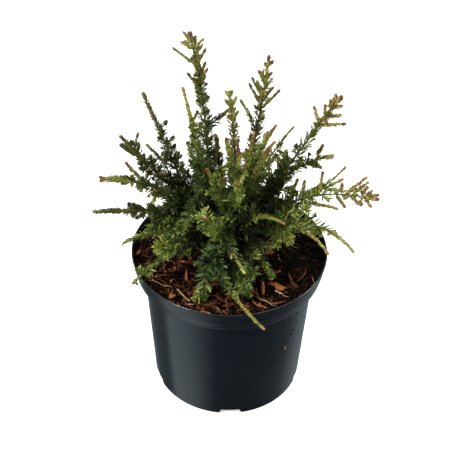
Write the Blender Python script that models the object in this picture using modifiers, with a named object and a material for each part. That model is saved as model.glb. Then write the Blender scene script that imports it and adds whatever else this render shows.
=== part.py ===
"""A potted dwarf conifer: a nursery pot full of compost, a short stem, main boughs and masses of foliage.

Metres, +Z up. The origin is the centre of the pot's flat underside. Azimuths are in degrees
anticlockwise from +X, seen from above. The plant's fuller front faces -Y.
"""

import math

import bmesh
import bpy
import numpy as np
from mathutils import Vector
from mathutils.bvhtree import BVHTree

MM = 0.001

# ---------------------------------------------------------------- driving sizes, mm
RIM_RADIUS = 95.0  # outside of the lip
POT_HEIGHT = 156.9
BAND_HEIGHT = 22.6  # the stiffening band below the lip
BAND_FOOT_RADIUS = 91.1
BODY_TOP_RADIUS = 83.2
BODY_FOOT_RADIUS = 75.2
WALL = 1.3
FLOOR_DISC_RADIUS = 50.2  # the flat disc that the pot stands on, with the foot ring
CHANNEL_HEIGHT = 6.2  # the raised drainage channel between disc and foot ring
POT_SIDES = 40

NOTCHES = 5
NOTCH_AZIMUTH = -87.0
NOTCH_FOOT_WIDTH = 23.7
NOTCH_TOP_WIDTH = 17.8
NOTCH_HEIGHT = 6.0
DRAIN_HOLE_RADIUS = 4.5
DRAIN_HOLE_RING = 60.0

SOIL_LEVEL = 148.2
SOIL_SIDES = 20
SOIL_ROUGHNESS = 1.2
GAP = 0.3  # between pieces that touch

STEM_FOOT = SOIL_LEVEL + GAP
# height of each station over the stem's foot along its length, and its radius
STEM_GIRTH = ((0.0, 8.8), (1.6, 6.8), (4.5, 5.4), (10.0, 4.6), (20.0, 4.0), (32.0, 3.2), (50.0, 2.4), (78.5, 1.7))
STEM_SIDES = 8
STEM_LEAN = (69.0, 85.0)  # azimuth it leans to, and its rise

FOLIAGE_SIDES = 8
FOLIAGE_STEP = 12.5  # between the sections of a mass
CLEARANCE = 0.7  # kept between masses while they share out the crown

# ---------------------------------------------------------------- main boughs
# name: (height of its foot on the stem above the pot's underside,
#        azimuth, rise, length, how far the rise changes along it, how far the azimuth changes, foot radius, tip radius)
BOUGHS = {
    "tall_left": (172, 135, 50, 76, 30, 0, 2.3, 1.5),
    "tall_right": (170, 57, 50, 62, 30, 0, 2.2, 1.4),
    "mid_left": (168, 184, 55, 63, 20, -16, 1.9, 1.3),
    "upper_left": (164, 158, 44, 54, 1, 12, 2.2, 1.5),
    "left": (159, -169, 47, 58, 2, -7, 2.1, 1.4),
    "low_left": (154, -152, 41, 49, -6, 10, 2.0, 1.3),
    "front_centre": (168, -84, 56, 68, 20, 4, 2.1, 1.4),
    "right_centre": (172, -28, 55, 57, 38, 0, 2.0, 1.4),
    "upper_right": (166, 26, 45, 57, 12, -8, 2.3, 1.6),
    "right": (158, 8, 49, 68, -4, -18, 2.3, 1.5),
    "low_right": (153.5, -28, 52, 65, -8, 14, 2.0, 1.3),
    "front_right": (159, -61, 48, 46, -8, 0, 1.9, 1.3),
    "front": (153.5, -84, 17, 47, 0, -2, 2.0, 1.4),
    "front_left": (152.5, -120, 39, 47, -15, 9, 2.0, 1.4),
    "front_up": (163, -99, 46, 52, -3, 2, 1.9, 1.3),
    "back_left": (160, 124, 46, 46, -8, 4, 2.1, 1.4),
    "back_right": (158, 66, 44, 46, -8, -4, 2.1, 1.4),
}

# ---------------------------------------------------------------- masses of foliage
# name: (what it grows from, how far along that, azimuth, rise, length,
#        how far the rise changes, how far the azimuth changes, girth as a radius, shape)
MASSES = {
    "tall_left": ("tall_left", 1.0, 116, 84, 124, -21, 4, 10.5, "crowned"),
    "tall_right": ("tall_right", 1.0, 54, 71, 119, 10, 1, 10.0, "flared"),
    "centre": ("stem", 1.0, 124, 88, 94, -12, 1, 8.5, "crowned"),
    "mid_left": ("mid_left", 1.0, 153, 84, 105, -10, 1, 8.5, "spire"),
    "upper_left": ("upper_left", 1.0, 151, 64, 116, 0, 0, 9.0, "spire"),
    "left_fork": ("upper_left", 0.85, -176, 45, 109, 10, -3, 10.0, "crowned"),
    "left": ("left", 1.0, 177, 54, 95, -54, 10, 10.0, "spire"),
    "left_level": ("left", 0.8, -174, 21, 98, -20, 5, 9.5, "spire"),
    "left_low": ("low_left", 1.0, -177, 32, 75, -68, 19, 10.0, "spire"),
    "rim_left": ("low_left", 0.8, -149, 2, 83, -23, 8, 8.0, "spire"),
    "left_tuft": ("low_left", 0.9, -142, 15, 54, 1, 0, 13.5, "tuft"),
    "front_spire": ("front_centre", 1.0, -124, 83, 82, -9, -1, 7.0, "spire"),
    "front_spire_right": ("front_centre", 0.9, -77, 70, 75, 31, 8, 8.0, "crowned"),
    "front_tuft": ("front_centre", 0.8, -86, 59, 69, 0, 0, 10.0, "tuft"),
    "front_spire_left": ("front_centre", 0.55, -132, 66, 87, 0, 0, 10.0, "spire"),
    "centre_right": ("right_centre", 1.0, -68, 88, 75, -13, 1, 6.5, "spire"),
    "centre_right_high": ("right_centre", 0.95, 24, 86, 78, -31, -3, 8.0, "crowned"),
    "centre_right_front": ("right_centre", 0.75, -42, 81, 92, -20, 1, 7.0, "spire"),
    "right_thin": ("right_centre", 0.6, 42, 72, 94, -36, -8, 5.5, "spire"),
    "upper_right": ("upper_right", 1.0, 14, 57, 120, 0, 0, 10.0, "crowned"),
    "right_fork": ("upper_right", 0.9, 22, 56, 80, -49, -13, 11.0, "crowned"),
    "right_tuft": ("upper_right", 0.7, 36, 40, 63, 34, 6, 9.5, "tuft"),
    "right": ("right", 1.0, 2, 33, 94, -41, -10, 11.5, "crowned"),
    "right_side": ("right", 0.9, 6, 40, 74, 16, -4, 6.5, "spire"),
    "right_droop": ("low_right", 1.0, -3, 16, 83, -62, -19, 8.5, "spire"),
    "rim_right": ("low_right", 0.9, -22, 33, 68, -73, -22, 7.5, "spire"),
    "right_low_tuft": ("low_right", 0.8, -44, 17, 33, -11, -4, 11.5, "tuft"),
    "front_arch": ("front_right", 0.5, -38, 86, 83, -82, -9, 9.0, "spire"),
    "front_right_low": ("front_right", 1.0, -55, -12, 36, 6, 6, 12.5, "tuft"),
    "rim_front": ("front", 1.0, -79, 2, 76, -18, 20, 7.5, "spire"),
    "front_low": ("front", 0.8, -58, 23, 47, -30, -16, 10.0, "tuft"),
    "front_left_low": ("front_left", 1.0, -108, -23, 52, 8, -10, 11.0, "spire"),
    "front_low_centre": ("front_left", 0.8, -80, 7, 56, -4, -8, 10.5, "spire"),
    "front_left_tuft": ("front_up", 0.8, -113, 46, 72, 11, 1, 13.0, "tuft"),
    "front_hang": ("front_up", 1.0, -69, -6, 43, 3, 2, 11.0, "spire"),
    "back_left": ("back_left", 1.0, 118, 36, 66, -14, -6, 12.5, "crowned"),
    "back_left_low": ("back_left", 0.8, 152, 26, 66, -20, 4, 12.0, "crowned"),
    "back_centre": ("back_left", 0.9, 88, 42, 70, -18, -4, 12.5, "crowned"),
    "back_right": ("back_right", 1.0, 62, 30, 58, -16, -8, 12.5, "crowned"),
    "back_right_low": ("back_right", 0.8, 30, 22, 58, -16, -10, 11.5, "crowned"),
}

# how a mass fills out from its foot (0) to its tip (1), as a share of its girth
SHAPES = {
    "spire": ((0.0, 0.6), (0.12, 1.0), (0.3, 1.0), (0.55, 0.7), (0.8, 0.47), (1.0, 0.28)),
    "crowned": ((0.0, 0.6), (0.15, 0.78), (0.4, 0.72), (0.7, 1.0), (0.88, 0.85), (1.0, 0.45)),
    "flared": ((0.0, 0.6), (0.15, 0.75), (0.4, 0.7), (0.62, 1.0), (0.8, 0.55), (1.0, 0.35)),
    "tuft": ((0.0, 0.45), (0.25, 0.8), (0.6, 1.0), (0.85, 0.85), (1.0, 0.5)),
}

BARK = (0.19, 0.11, 0.06)
GREENS = ((0.05, 0.1, 0.025), (0.07, 0.13, 0.03), (0.1, 0.17, 0.04))


# ---------------------------------------------------------------- helpers
def clear_scene():
    for obj in list(bpy.data.objects):
        bpy.data.objects.remove(obj, do_unlink=True)


def new_collection(name):
    made = bpy.data.collections.new(name)
    bpy.context.scene.collection.children.link(made)
    return made


def material(name, colour, roughness):
    made = bpy.data.materials.new(name)
    made.use_nodes = True
    shader = made.node_tree.nodes["Principled BSDF"]
    shader.inputs["Base Color"].default_value = (*colour, 1.0)
    shader.inputs["Roughness"].default_value = roughness
    shader.inputs["Metallic"].default_value = 0.0
    return made


def place(obj, collection, parent, mat):
    collection.objects.link(obj)
    obj.parent = parent
    obj.data.materials.append(mat)
    return obj


def heading(azimuth, rise):
    a, e = math.radians(azimuth), math.radians(rise)
    return np.array([math.cos(e) * math.cos(a), math.cos(e) * math.sin(a), math.sin(e)])


def limb(start, azimuth, rise, length, lift, swing, steps=20):
    """The middle line of a limb: it sets out at azimuth and rise, which change evenly along it."""
    points = [np.array(start, float)]
    for i in range(steps):
        s = (i + 0.5) / steps
        points.append(points[-1] + heading(azimuth + swing * s, rise + lift * s) * length / steps)
    return np.array(points)


def along(points, share):
    """The point this share of the way along a line, and the line's direction there."""
    x = min(max(share, 0.0), 1.0) * (len(points) - 1)
    k = min(int(x), len(points) - 2)
    step = points[k + 1] - points[k]
    return points[k] + step * (x - k), step / np.linalg.norm(step)


def at_height(points, height):
    k = int(np.clip(np.searchsorted(points[:, 2], height), 1, len(points) - 1))
    t = (height - points[k - 1, 2]) / (points[k, 2] - points[k - 1, 2])
    return points[k - 1] + (points[k] - points[k - 1]) * t


def between(table, x):
    return float(np.interp(x, [row[0] for row in table], [row[1] for row in table]))


def wobble(*key):
    """A steady number from -1 to 1 that differs from key to key."""
    x = math.sin(sum((i + 1) * 12.9898 * k for i, k in enumerate(key)) + 4.1) * 43758.5453
    return 2.0 * (x - math.floor(x)) - 1.0


def section_axes(direction, before=None):
    """Two axes across a limb. Given the side axis of the section before it, they turn with the limb and don't twist."""
    if before is None:
        before = np.cross(direction, (0.0, 0.0, 1.0) if abs(direction[2]) < 0.9 else (0.0, 1.0, 0.0))
    side = before - direction * np.dot(before, direction)
    side /= np.linalg.norm(side)
    return side, np.cross(side, direction)


def loft(name, rings, foot, tip, origin):
    """A closed mesh from rings of the same count, with its ends closed to a point or, where that is None, flat."""
    sides = len(rings[0])
    verts = [tuple((p - origin) * MM) for ring in rings for p in ring]
    faces = []
    for k in range(len(rings) - 1):
        for i in range(sides):
            j = (i + 1) % sides
            faces.append((k * sides + i, k * sides + j, (k + 1) * sides + j, (k + 1) * sides + i))
    last = (len(rings) - 1) * sides
    if foot is None:
        faces.append(tuple(range(sides))[::-1])
    else:
        verts.append(tuple((foot - origin) * MM))
        faces += [(len(verts) - 1, (i + 1) % sides, i) for i in range(sides)]
    if tip is None:
        faces.append(tuple(last + i for i in range(sides)))
    else:
        verts.append(tuple((tip - origin) * MM))
        faces += [(len(verts) - 1, last + i, last + (i + 1) % sides) for i in range(sides)]
    mesh = bpy.data.meshes.new(name)
    mesh.from_pydata(verts, [], faces)
    work = bmesh.new()
    work.from_mesh(mesh)
    bmesh.ops.recalc_face_normals(work, faces=work.faces)
    bmesh.ops.triangulate(work, faces=[f for f in work.faces if len(f.verts) == 4])
    work.to_mesh(mesh)
    work.free()
    mesh.shade_smooth()
    obj = bpy.data.objects.new(name, mesh)
    obj.location = Vector(origin * MM)
    return obj


def turned(name, profile, sides):
    """A turned shape: the profile runs from the axis, inside, over the lip and down its outer side, back to the axis."""
    mesh = bpy.data.meshes.new(name)
    mesh.from_pydata([(r * MM, 0.0, z * MM) for r, z in profile], [(i, i + 1) for i in range(len(profile) - 1)], [])
    obj = bpy.data.objects.new(name, mesh)
    screw = obj.modifiers.new("turn", "SCREW")
    screw.axis = "Z"
    screw.angle = 2 * math.pi
    screw.steps = screw.render_steps = sides
    screw.use_merge_vertices = True
    screw.merge_threshold = 0.00005
    return obj


# ---------------------------------------------------------------- pot
def pot_profile():
    band_foot = POT_HEIGHT - BAND_HEIGHT
    inner_foot = BODY_FOOT_RADIUS - WALL
    return [
        (0.0, 1.8),
        (FLOOR_DISC_RADIUS - 2.0, 1.8),
        (FLOOR_DISC_RADIUS - 0.5, CHANNEL_HEIGHT + 1.8),
        (inner_foot, CHANNEL_HEIGHT + 1.8),
        (BODY_TOP_RADIUS - WALL, band_foot - 1.3),
        (BODY_TOP_RADIUS - 0.4, band_foot + 0.6),
        (BAND_FOOT_RADIUS - WALL - 0.3, band_foot + 1.7),
        (RIM_RADIUS - 2.0, POT_HEIGHT - 1.7),
        (RIM_RADIUS - 1.4, POT_HEIGHT - 0.2),
        (RIM_RADIUS - 0.6, POT_HEIGHT),
        (RIM_RADIUS, POT_HEIGHT - 0.9),
        (RIM_RADIUS - 0.2, POT_HEIGHT - 2.5),
        (BAND_FOOT_RADIUS, band_foot + 1.1),
        (BAND_FOOT_RADIUS - 0.7, band_foot),
        (BODY_TOP_RADIUS + 0.4, band_foot - 0.7),
        (BODY_TOP_RADIUS, band_foot - 2.1),
        (BODY_FOOT_RADIUS, 4.0),
        (BODY_FOOT_RADIUS - 1.0, 1.2),
        (BODY_FOOT_RADIUS - 3.6, 0.0),
        (BODY_FOOT_RADIUS - 6.2, 0.0),
        (BODY_FOOT_RADIUS - 6.8, CHANNEL_HEIGHT),
        (FLOOR_DISC_RADIUS + 1.4, CHANNEL_HEIGHT),
        (FLOOR_DISC_RADIUS, 0.0),
        (0.0, 0.0),
    ]


def notch_cutter(collection, azimuth):
    """A wedge across the foot ring, wider at the floor than at its top."""
    mesh = bpy.data.meshes.new("notch_cutter")
    work = bmesh.new()
    bmesh.ops.create_cube(work, size=1.0)
    deep, below = 14.0, 2.0
    slope = (NOTCH_FOOT_WIDTH - NOTCH_TOP_WIDTH) / NOTCH_HEIGHT
    for v in work.verts:
        top = v.co.z > 0
        half = (NOTCH_TOP_WIDTH if top else NOTCH_FOOT_WIDTH + slope * below) / 2
        v.co = Vector((math.copysign(deep / 2, v.co.x), math.copysign(half, v.co.y), NOTCH_HEIGHT if top else -below)) * MM
    work.to_mesh(mesh)
    work.free()
    obj = bpy.data.objects.new("notch_cutter", mesh)
    obj.location = Vector(heading(azimuth, 0) * (BODY_FOOT_RADIUS - 2.0) * MM)
    obj.rotation_euler = (0.0, 0.0, math.radians(azimuth))
    obj.hide_render = True
    obj.display_type = "WIRE"
    collection.objects.link(obj)
    return obj


def drain_cutter(collection, azimuth):
    mesh = bpy.data.meshes.new("drain_cutter")
    work = bmesh.new()
    bmesh.ops.create_cone(work, cap_ends=True, segments=8, radius1=DRAIN_HOLE_RADIUS * MM, radius2=DRAIN_HOLE_RADIUS * MM, depth=6.0 * MM)
    work.to_mesh(mesh)
    work.free()
    obj = bpy.data.objects.new("drain_cutter", mesh)
    obj.location = Vector(heading(azimuth, 0) * DRAIN_HOLE_RING * MM) + Vector((0, 0, (CHANNEL_HEIGHT + 0.9) * MM))
    obj.hide_render = True
    obj.display_type = "WIRE"
    collection.objects.link(obj)
    return obj


def build_pot(collection, cutters, parent):
    pot = place(turned("pot", pot_profile(), POT_SIDES), collection, parent, material("pot_plastic", (0.035, 0.05, 0.06), 0.42))
    for i in range(NOTCHES):
        azimuth = NOTCH_AZIMUTH + 360.0 / NOTCHES * i
        for kind, cutter in (("notch", notch_cutter(cutters, azimuth)), ("drain", drain_cutter(cutters, azimuth))):
            cut = pot.modifiers.new(f"{kind}_{i}", "BOOLEAN")
            cut.operation = "DIFFERENCE"
            cut.object = cutter
    return pot


# ---------------------------------------------------------------- compost
def build_soil(collection, parent):
    """The compost fills the pot to below the lip, and its top is uneven but flat under the stem."""
    wall = [(r - GAP, z) for r, z in pot_profile()[3:7]]
    floor = CHANNEL_HEIGHT + 1.8 + GAP
    edge = float(np.interp(SOIL_LEVEL, [pot_profile()[6][1], pot_profile()[7][1]], [pot_profile()[6][0], pot_profile()[7][0]])) - GAP
    profile = [(0.0, SOIL_LEVEL), (13.0, SOIL_LEVEL)] + [(r, SOIL_LEVEL) for r in (30.0, 48.0, 64.0, 79.0)] + [(edge, SOIL_LEVEL)]
    profile += [(wall[3][0] - 0.4, wall[3][1] + GAP), (wall[2][0] - 0.2, wall[2][1] + GAP), (wall[1][0], wall[1][1]), (wall[0][0], floor)]
    profile += [(FLOOR_DISC_RADIUS - 0.5 - GAP, floor), (FLOOR_DISC_RADIUS - 2.0 - GAP, 1.8 + GAP), (0.0, 1.8 + GAP)]
    turned_soil = turned("soil_turned", profile, SOIL_SIDES)
    collection.objects.link(turned_soil)
    bpy.context.view_layer.update()
    graph = bpy.context.evaluated_depsgraph_get()
    mesh = bpy.data.meshes.new_from_object(turned_soil.evaluated_get(graph))
    bpy.data.objects.remove(turned_soil, do_unlink=True)
    for v in mesh.vertices:
        r = math.hypot(v.co.x, v.co.y) / MM
        if v.co.z / MM > SOIL_LEVEL - 0.01 and r > 20.0:
            lump = wobble(round(v.co.x / MM), round(v.co.y / MM))
            v.co.z += (lump if r < edge - 1 else 0.5 * lump) * SOIL_ROUGHNESS * MM
    mesh.name = "soil"
    return place(bpy.data.objects.new("soil", mesh), collection, parent, material("compost", (0.06, 0.032, 0.02), 0.95))


# ---------------------------------------------------------------- stem and boughs
def stem_line():
    length = STEM_GIRTH[-1][0]
    foot = np.array([0.0, 0.0, STEM_FOOT])
    return np.vstack([[foot], limb(foot + (0, 0, 1.6), *STEM_LEAN, length - 1.6, -8, 0)])


def stem_radius(height):
    return between(STEM_GIRTH, height - STEM_FOOT)


def build_stem(collection, parent, line):
    """The root flare is ribbed and cut flat at the compost; above it the stem tapers and leans."""
    rings, side = [], None
    for k, (height, radius) in enumerate(STEM_GIRTH):
        centre = at_height(line, STEM_FOOT + height * 0.995) if k else line[0]
        _, direction = along(line, height / STEM_GIRTH[-1][0])
        side, up = section_axes(direction if k > 1 else np.array([0.0, 0.0, 1.0]), side)
        ring = []
        for i in range(STEM_SIDES):
            turn = 2 * math.pi * i / STEM_SIDES
            rib = 1.0 + (0.16 * math.cos(3 * turn + 0.6) if k < 3 else 0.04 * wobble(k, i)) * (1.0, 0.8, 0.4, 1, 1, 1, 1, 1)[k]
            ring.append(centre + radius * rib * (side * math.cos(turn) + up * math.sin(turn)))
        rings.append(np.array(ring))
    return place(loft("stem", rings, None, None, line[0]), collection, parent, material("stem_bark", BARK, 0.9))


def bough_line(name, stem):
    """From just outside the stem's bark to the bough's tip."""
    height, azimuth, rise, length, lift, swing, foot_radius, _ = BOUGHS[name]
    line = limb(at_height(stem, height), azimuth, rise, length, lift, swing)
    return line


def bough_start(name, line):
    """How far along its line a bough comes out of the stem, with its whole end clear of the bark."""
    height, azimuth, rise, length, _, _, foot_radius, _ = BOUGHS[name]
    need = stem_radius(height) + GAP + 0.25 + foot_radius * math.sin(math.radians(rise))
    return need / math.cos(math.radians(rise)) / length


def build_bough(name, line, start, collection, parent):
    foot_radius, tip_radius = BOUGHS[name][6:]
    origin, _ = along(line, start)
    count = 6
    curve = bpy.data.curves.new("bough_" + name, "CURVE")
    curve.dimensions = "3D"
    curve.bevel_depth = 1.0 * MM
    curve.bevel_resolution = 1
    curve.use_fill_caps = True
    spline = curve.splines.new("POLY")
    spline.points.add(count - 1)
    for k in range(count):
        t = k / (count - 1)
        point, _ = along(line, start + (1 - start) * t)
        spline.points[k].co = (*((point - origin) * MM), 1.0)
        spline.points[k].radius = foot_radius + (tip_radius - foot_radius) * t
    obj = bpy.data.objects.new("bough_" + name, curve)
    obj.location = Vector(origin * MM)
    return place(obj, collection, parent, material(f"bark_{name}", BARK, 0.9))


# ---------------------------------------------------------------- foliage
def outside_pot(point, margin):
    """True where a point keeps this far from the pot's lip and the compost."""
    r = math.hypot(point[0], point[1])
    if r < RIM_RADIUS - 8.0:
        return point[2] > SOIL_LEVEL + SOIL_ROUGHNESS + margin
    if r < RIM_RADIUS + margin:
        return point[2] > POT_HEIGHT + margin
    return True


class Mass:
    """One mass: its line, the rings of its sections, and how far each corner stands out."""

    def __init__(self, number, name, lines):
        parent, share, azimuth, rise, length, lift, swing, self.girth, self.shape = MASSES[name]
        self.number, self.name, self.parent = number, name, parent
        start, _ = along(lines[parent], share)
        self.line = limb(start, azimuth, rise, length, lift, swing, 30)
        self.length, self.share = length, share
        self.start = 0.0

    def radius_at(self, t):
        u = max(0.0, (t - self.start) / (1 - self.start))
        return self.girth * between(SHAPES[self.shape], u)

    def samples(self):
        """Points along the line from where the mass starts, with the girth there."""
        shares = np.linspace(self.start, 1.0, max(4, int(self.length * (1 - self.start) / 4)))
        return np.array([along(self.line, t)[0] for t in shares]), np.array([self.radius_at(t) for t in shares])


def find_start(mass, boughs, radii, stem):
    """The mass starts where its line is clear of the boughs and the stem."""
    for t in np.linspace(0.0, 0.6, 61):
        point, _ = along(mass.line, t)
        room = min(np.linalg.norm(boughs[n] - point, axis=1).min() - radii[n] for n in boughs)
        room = min(room, np.linalg.norm(stem - point, axis=1).min() - 2.2 if mass.parent != "stem" else 9.0)
        if mass.share >= 1.0 and mass.length * t >= GAP + 0.3 + 0.2:
            return t
        if mass.share < 1.0 and room > 2.2:
            return t
    return 0.3


def make_room(masses):
    """A mass that forks off beside another starts only where it is wide enough to matter."""
    for mass in masses:
        if mass.share >= 1.0:
            continue
        narrow = 0
        while narrow < len(mass.reach) - 2 and np.mean(mass.reach[narrow]) < 0.42 * mass.girth:
            narrow += 1
        mass.start += (1 - mass.start) * narrow / len(mass.reach)


def shape_masses(masses, boughs, radii, stem):
    """Grows every mass outwards to its girth, or to the border with its neighbours where they would meet."""
    others = {}
    for mass in masses:
        others[mass.name] = mass.samples()
    bough_points = np.vstack([boughs[n] for n in boughs])
    bough_room = np.concatenate([np.full(len(boughs[n]), radii[n]) for n in boughs])
    stem_points, stem_room = stem, np.array([stem_radius(p[2]) for p in stem])
    hard_points = np.vstack([bough_points, stem_points])
    hard_room = np.concatenate([bough_room, stem_room]) + 0.5
    for mass in masses:
        rivals = [others[m.name] for m in masses if m is not mass]
        rival_points = np.vstack([p for p, _ in rivals])
        rival_girth = np.concatenate([g for _, g in rivals])

        def free(point, reach, girth):
            if not outside_pot(point, 1.0):
                return False
            if (np.linalg.norm(hard_points - point, axis=1) < hard_room).any():
                return False
            nearest = (np.linalg.norm(rival_points - point, axis=1) - rival_girth).min()
            return reach - girth <= nearest - CLEARANCE

        length = mass.length * (1 - mass.start)
        count = max(3, round(length / FOLIAGE_STEP))
        mass.centres, mass.frames, mass.reach = [], [], []
        side = None
        for k in range(count):
            u = (k + 0.35) / (count - 0.25)
            t = mass.start + (1 - mass.start) * u
            centre, direction = along(mass.line, t)
            side, up = section_axes(direction, side)
            girth = mass.radius_at(t)
            row = []
            for i in range(FOLIAGE_SIDES):
                turn = 2 * math.pi * (i + 0.5 * (k % 2)) / FOLIAGE_SIDES
                out = side * math.cos(turn) + up * math.sin(turn)
                wanted = girth * (1.0 + 0.2 * wobble(mass.number, k, i))
                reach = wanted
                while reach > 0.6 and not free(centre + out * reach, reach, girth):
                    reach -= 0.25
                row.append(max(reach, 0.6))
            mass.centres.append(centre)
            mass.frames.append((side, up, k))
            mass.reach.append(row)


def mass_rings(mass):
    rings = []
    for centre, (side, up, k), row in zip(mass.centres, mass.frames, mass.reach):
        ring = []
        for i, reach in enumerate(row):
            turn = 2 * math.pi * (i + 0.5 * (k % 2)) / FOLIAGE_SIDES
            ring.append(centre + reach * (side * math.cos(turn) + up * math.sin(turn)))
        rings.append(np.array(ring))
    foot, _ = along(mass.line, mass.start)
    tip, _ = along(mass.line, 1.0)
    return rings, foot, tip


def tree_of(rings, foot, tip):
    """The mass's triangles, and which section each belongs to."""
    sides, verts, faces, owners = FOLIAGE_SIDES, [Vector(p) for ring in rings for p in ring], [], []
    for k in range(len(rings) - 1):
        for i in range(sides):
            j = (i + 1) % sides
            a, b, c, d = k * sides + i, k * sides + j, (k + 1) * sides + j, (k + 1) * sides + i
            faces += [(a, b, c), (a, c, d)]
    last = (len(rings) - 1) * sides
    verts += [Vector(foot), Vector(tip)]
    for i in range(sides):
        faces.append((len(verts) - 2, (i + 1) % sides, i))
        faces.append((len(verts) - 1, last + i, last + (i + 1) % sides))
    return BVHTree.FromPolygons(verts, faces), faces


def settle(masses, solids):
    """Draws in the corners of any two masses that still touch, and of any that touch a bough, until all are clear."""
    for _ in range(40):
        trees = {}
        for mass in masses:
            trees[mass.name] = tree_of(*mass_rings(mass))
        tight = {}
        for a, first in enumerate(masses):
            mine, faces = trees[first.name]
            for second in masses[a + 1 :]:
                theirs, their_faces = trees[second.name]
                for f, g in mine.overlap(theirs):
                    tight.setdefault(first.name, set()).update(faces[f])
                    tight.setdefault(second.name, set()).update(their_faces[g])
            for other in solids:
                for f, _ in mine.overlap(other):
                    tight.setdefault(first.name, set()).update(faces[f])
        if not tight:
            return 0
        for mass in masses:
            for v in tight.get(mass.name, ()):
                if v < len(mass.reach) * FOLIAGE_SIDES:
                    k, i = divmod(v, FOLIAGE_SIDES)
                    mass.reach[k][i] = max(0.5, mass.reach[k][i] * 0.9)
    return len(tight)


def tube_tree(line, start, foot_radius, tip_radius, spare):
    verts, faces, sides, count, side = [], [], 8, 12, None
    for k in range(count):
        t = k / (count - 1)
        point, direction = along(line, start + (1 - start) * t)
        side, up = section_axes(direction, side)
        radius = (foot_radius + (tip_radius - foot_radius) * t + spare) / math.cos(math.pi / sides)
        for i in range(sides):
            turn = 2 * math.pi * i / sides
            verts.append(Vector(point + radius * (side * math.cos(turn) + up * math.sin(turn))))
    for k in range(count - 1):
        for i in range(sides):
            j = (i + 1) % sides
            faces.append((k * sides + i, k * sides + j, (k + 1) * sides + j, (k + 1) * sides + i))
    return BVHTree.FromPolygons(verts, faces)


# ---------------------------------------------------------------- the whole plant
def main():
    clear_scene()
    parts = new_collection("potted_conifer")
    cutters = new_collection("cutters")
    frame = bpy.data.objects.new("potted_conifer_frame", None)
    parts.objects.link(frame)

    build_pot(parts, cutters, frame)
    build_soil(parts, frame)

    stem = stem_line()
    build_stem(parts, frame, stem)
    lines, starts = {"stem": stem}, {}
    for name in BOUGHS:
        lines[name] = bough_line(name, stem)
        starts[name] = bough_start(name, lines[name])
        build_bough(name, lines[name], starts[name], parts, frame)

    fine = {n: np.array([along(lines[n], t)[0] for t in np.linspace(starts[n], 1.0, 24)]) for n in BOUGHS}
    radii = {n: BOUGHS[n][6] for n in BOUGHS}
    stem_fine = np.array([along(stem, t)[0] for t in np.linspace(0, 1, 30)])
    masses = [Mass(number + 1, name, lines) for number, name in enumerate(MASSES)]
    for mass in masses:
        mass.start = find_start(mass, fine, radii, stem_fine)
    for _ in range(3):
        shape_masses(masses, fine, radii, stem_fine)
        make_room(masses)
    shape_masses(masses, fine, radii, stem_fine)
    solids = [tube_tree(lines[n], starts[n], BOUGHS[n][6], BOUGHS[n][7], 0.2) for n in BOUGHS]
    solids.append(tube_tree(stem, 0.05, 5.0, 1.9, 0.2))
    left = settle(masses, solids)
    if left:
        print("masses that still touch:", left)
    for mass in masses:
        rings, foot, tip = mass_rings(mass)
        obj = loft("foliage_" + mass.name, rings, foot, tip, foot)
        place(obj, parts, frame, material("leaf_" + mass.name, GREENS[mass.number % 3], 0.6))


main()
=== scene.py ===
"""The looks of the potted dwarf conifer: leafy shoots grown from the limbs by a seeded rule, bark, compost and pot.

Metres in the scene, millimetres in the tables. The origin is the centre of the pot's flat underside, +Z up, and the
plant's fuller front faces -Y. Azimuths are in degrees anticlockwise from +X, seen from above.
"""

import math

import bmesh
import bpy
import numpy as np
from mathutils import Matrix, Vector


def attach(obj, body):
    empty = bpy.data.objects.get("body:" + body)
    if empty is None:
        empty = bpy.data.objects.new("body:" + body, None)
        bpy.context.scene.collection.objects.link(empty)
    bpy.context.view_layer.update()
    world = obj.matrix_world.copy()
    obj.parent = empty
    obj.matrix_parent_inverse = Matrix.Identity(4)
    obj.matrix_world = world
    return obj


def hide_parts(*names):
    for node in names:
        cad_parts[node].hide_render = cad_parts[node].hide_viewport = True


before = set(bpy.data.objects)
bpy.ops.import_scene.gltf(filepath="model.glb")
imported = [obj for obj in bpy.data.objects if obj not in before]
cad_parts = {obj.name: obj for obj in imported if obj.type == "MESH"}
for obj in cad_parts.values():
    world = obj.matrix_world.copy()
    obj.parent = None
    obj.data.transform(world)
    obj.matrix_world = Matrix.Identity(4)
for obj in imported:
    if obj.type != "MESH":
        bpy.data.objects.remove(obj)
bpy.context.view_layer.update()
MM = 0.001

# ---------------------------------------------------------------- camera, first of all
CAMERA_AT = (-0.00376777, -0.75788347, 0.80587345)
VIEW_RIGHT = np.array([0.9998137, 0.01225036, 0.01491648])
VIEW_UP = np.array([-0.01930214, 0.63454484, 0.77264499])
VIEW_AHEAD = np.array([0.0, 0.77278896, -0.63466308])

camera = bpy.data.objects.new("camera", bpy.data.cameras.new("camera"))
bpy.context.scene.collection.objects.link(camera)
camera.data.sensor_width = 36.0
camera.data.lens = 81.92
camera.data.clip_start = 0.05
camera.data.clip_end = 30.0
camera.matrix_world = Matrix(
    [
        (VIEW_RIGHT[i], VIEW_UP[i], -VIEW_AHEAD[i], CAMERA_AT[i])
        for i in range(3)
    ]
    + [(0.0, 0.0, 0.0, 1.0)]
)
bpy.context.scene.camera = camera

# ---------------------------------------------------------------- driving sizes, mm, as the frame's
RIM_RADIUS = 95.0
POT_HEIGHT = 156.9
BAND_HEIGHT = 22.6
BAND_FOOT_RADIUS = 91.1
BODY_TOP_RADIUS = 83.2
BODY_FOOT_RADIUS = 75.2
WALL = 1.3
FLOOR_DISC_RADIUS = 50.2
CHANNEL_HEIGHT = 6.2
POT_SIDES = 200

NOTCHES = 5
NOTCH_AZIMUTH = -87.0
NOTCH_FOOT_WIDTH = 23.7
NOTCH_TOP_WIDTH = 17.8
NOTCH_HEIGHT = 6.0
DRAIN_HOLE_RADIUS = 4.5
DRAIN_HOLE_RING = 60.0

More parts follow.
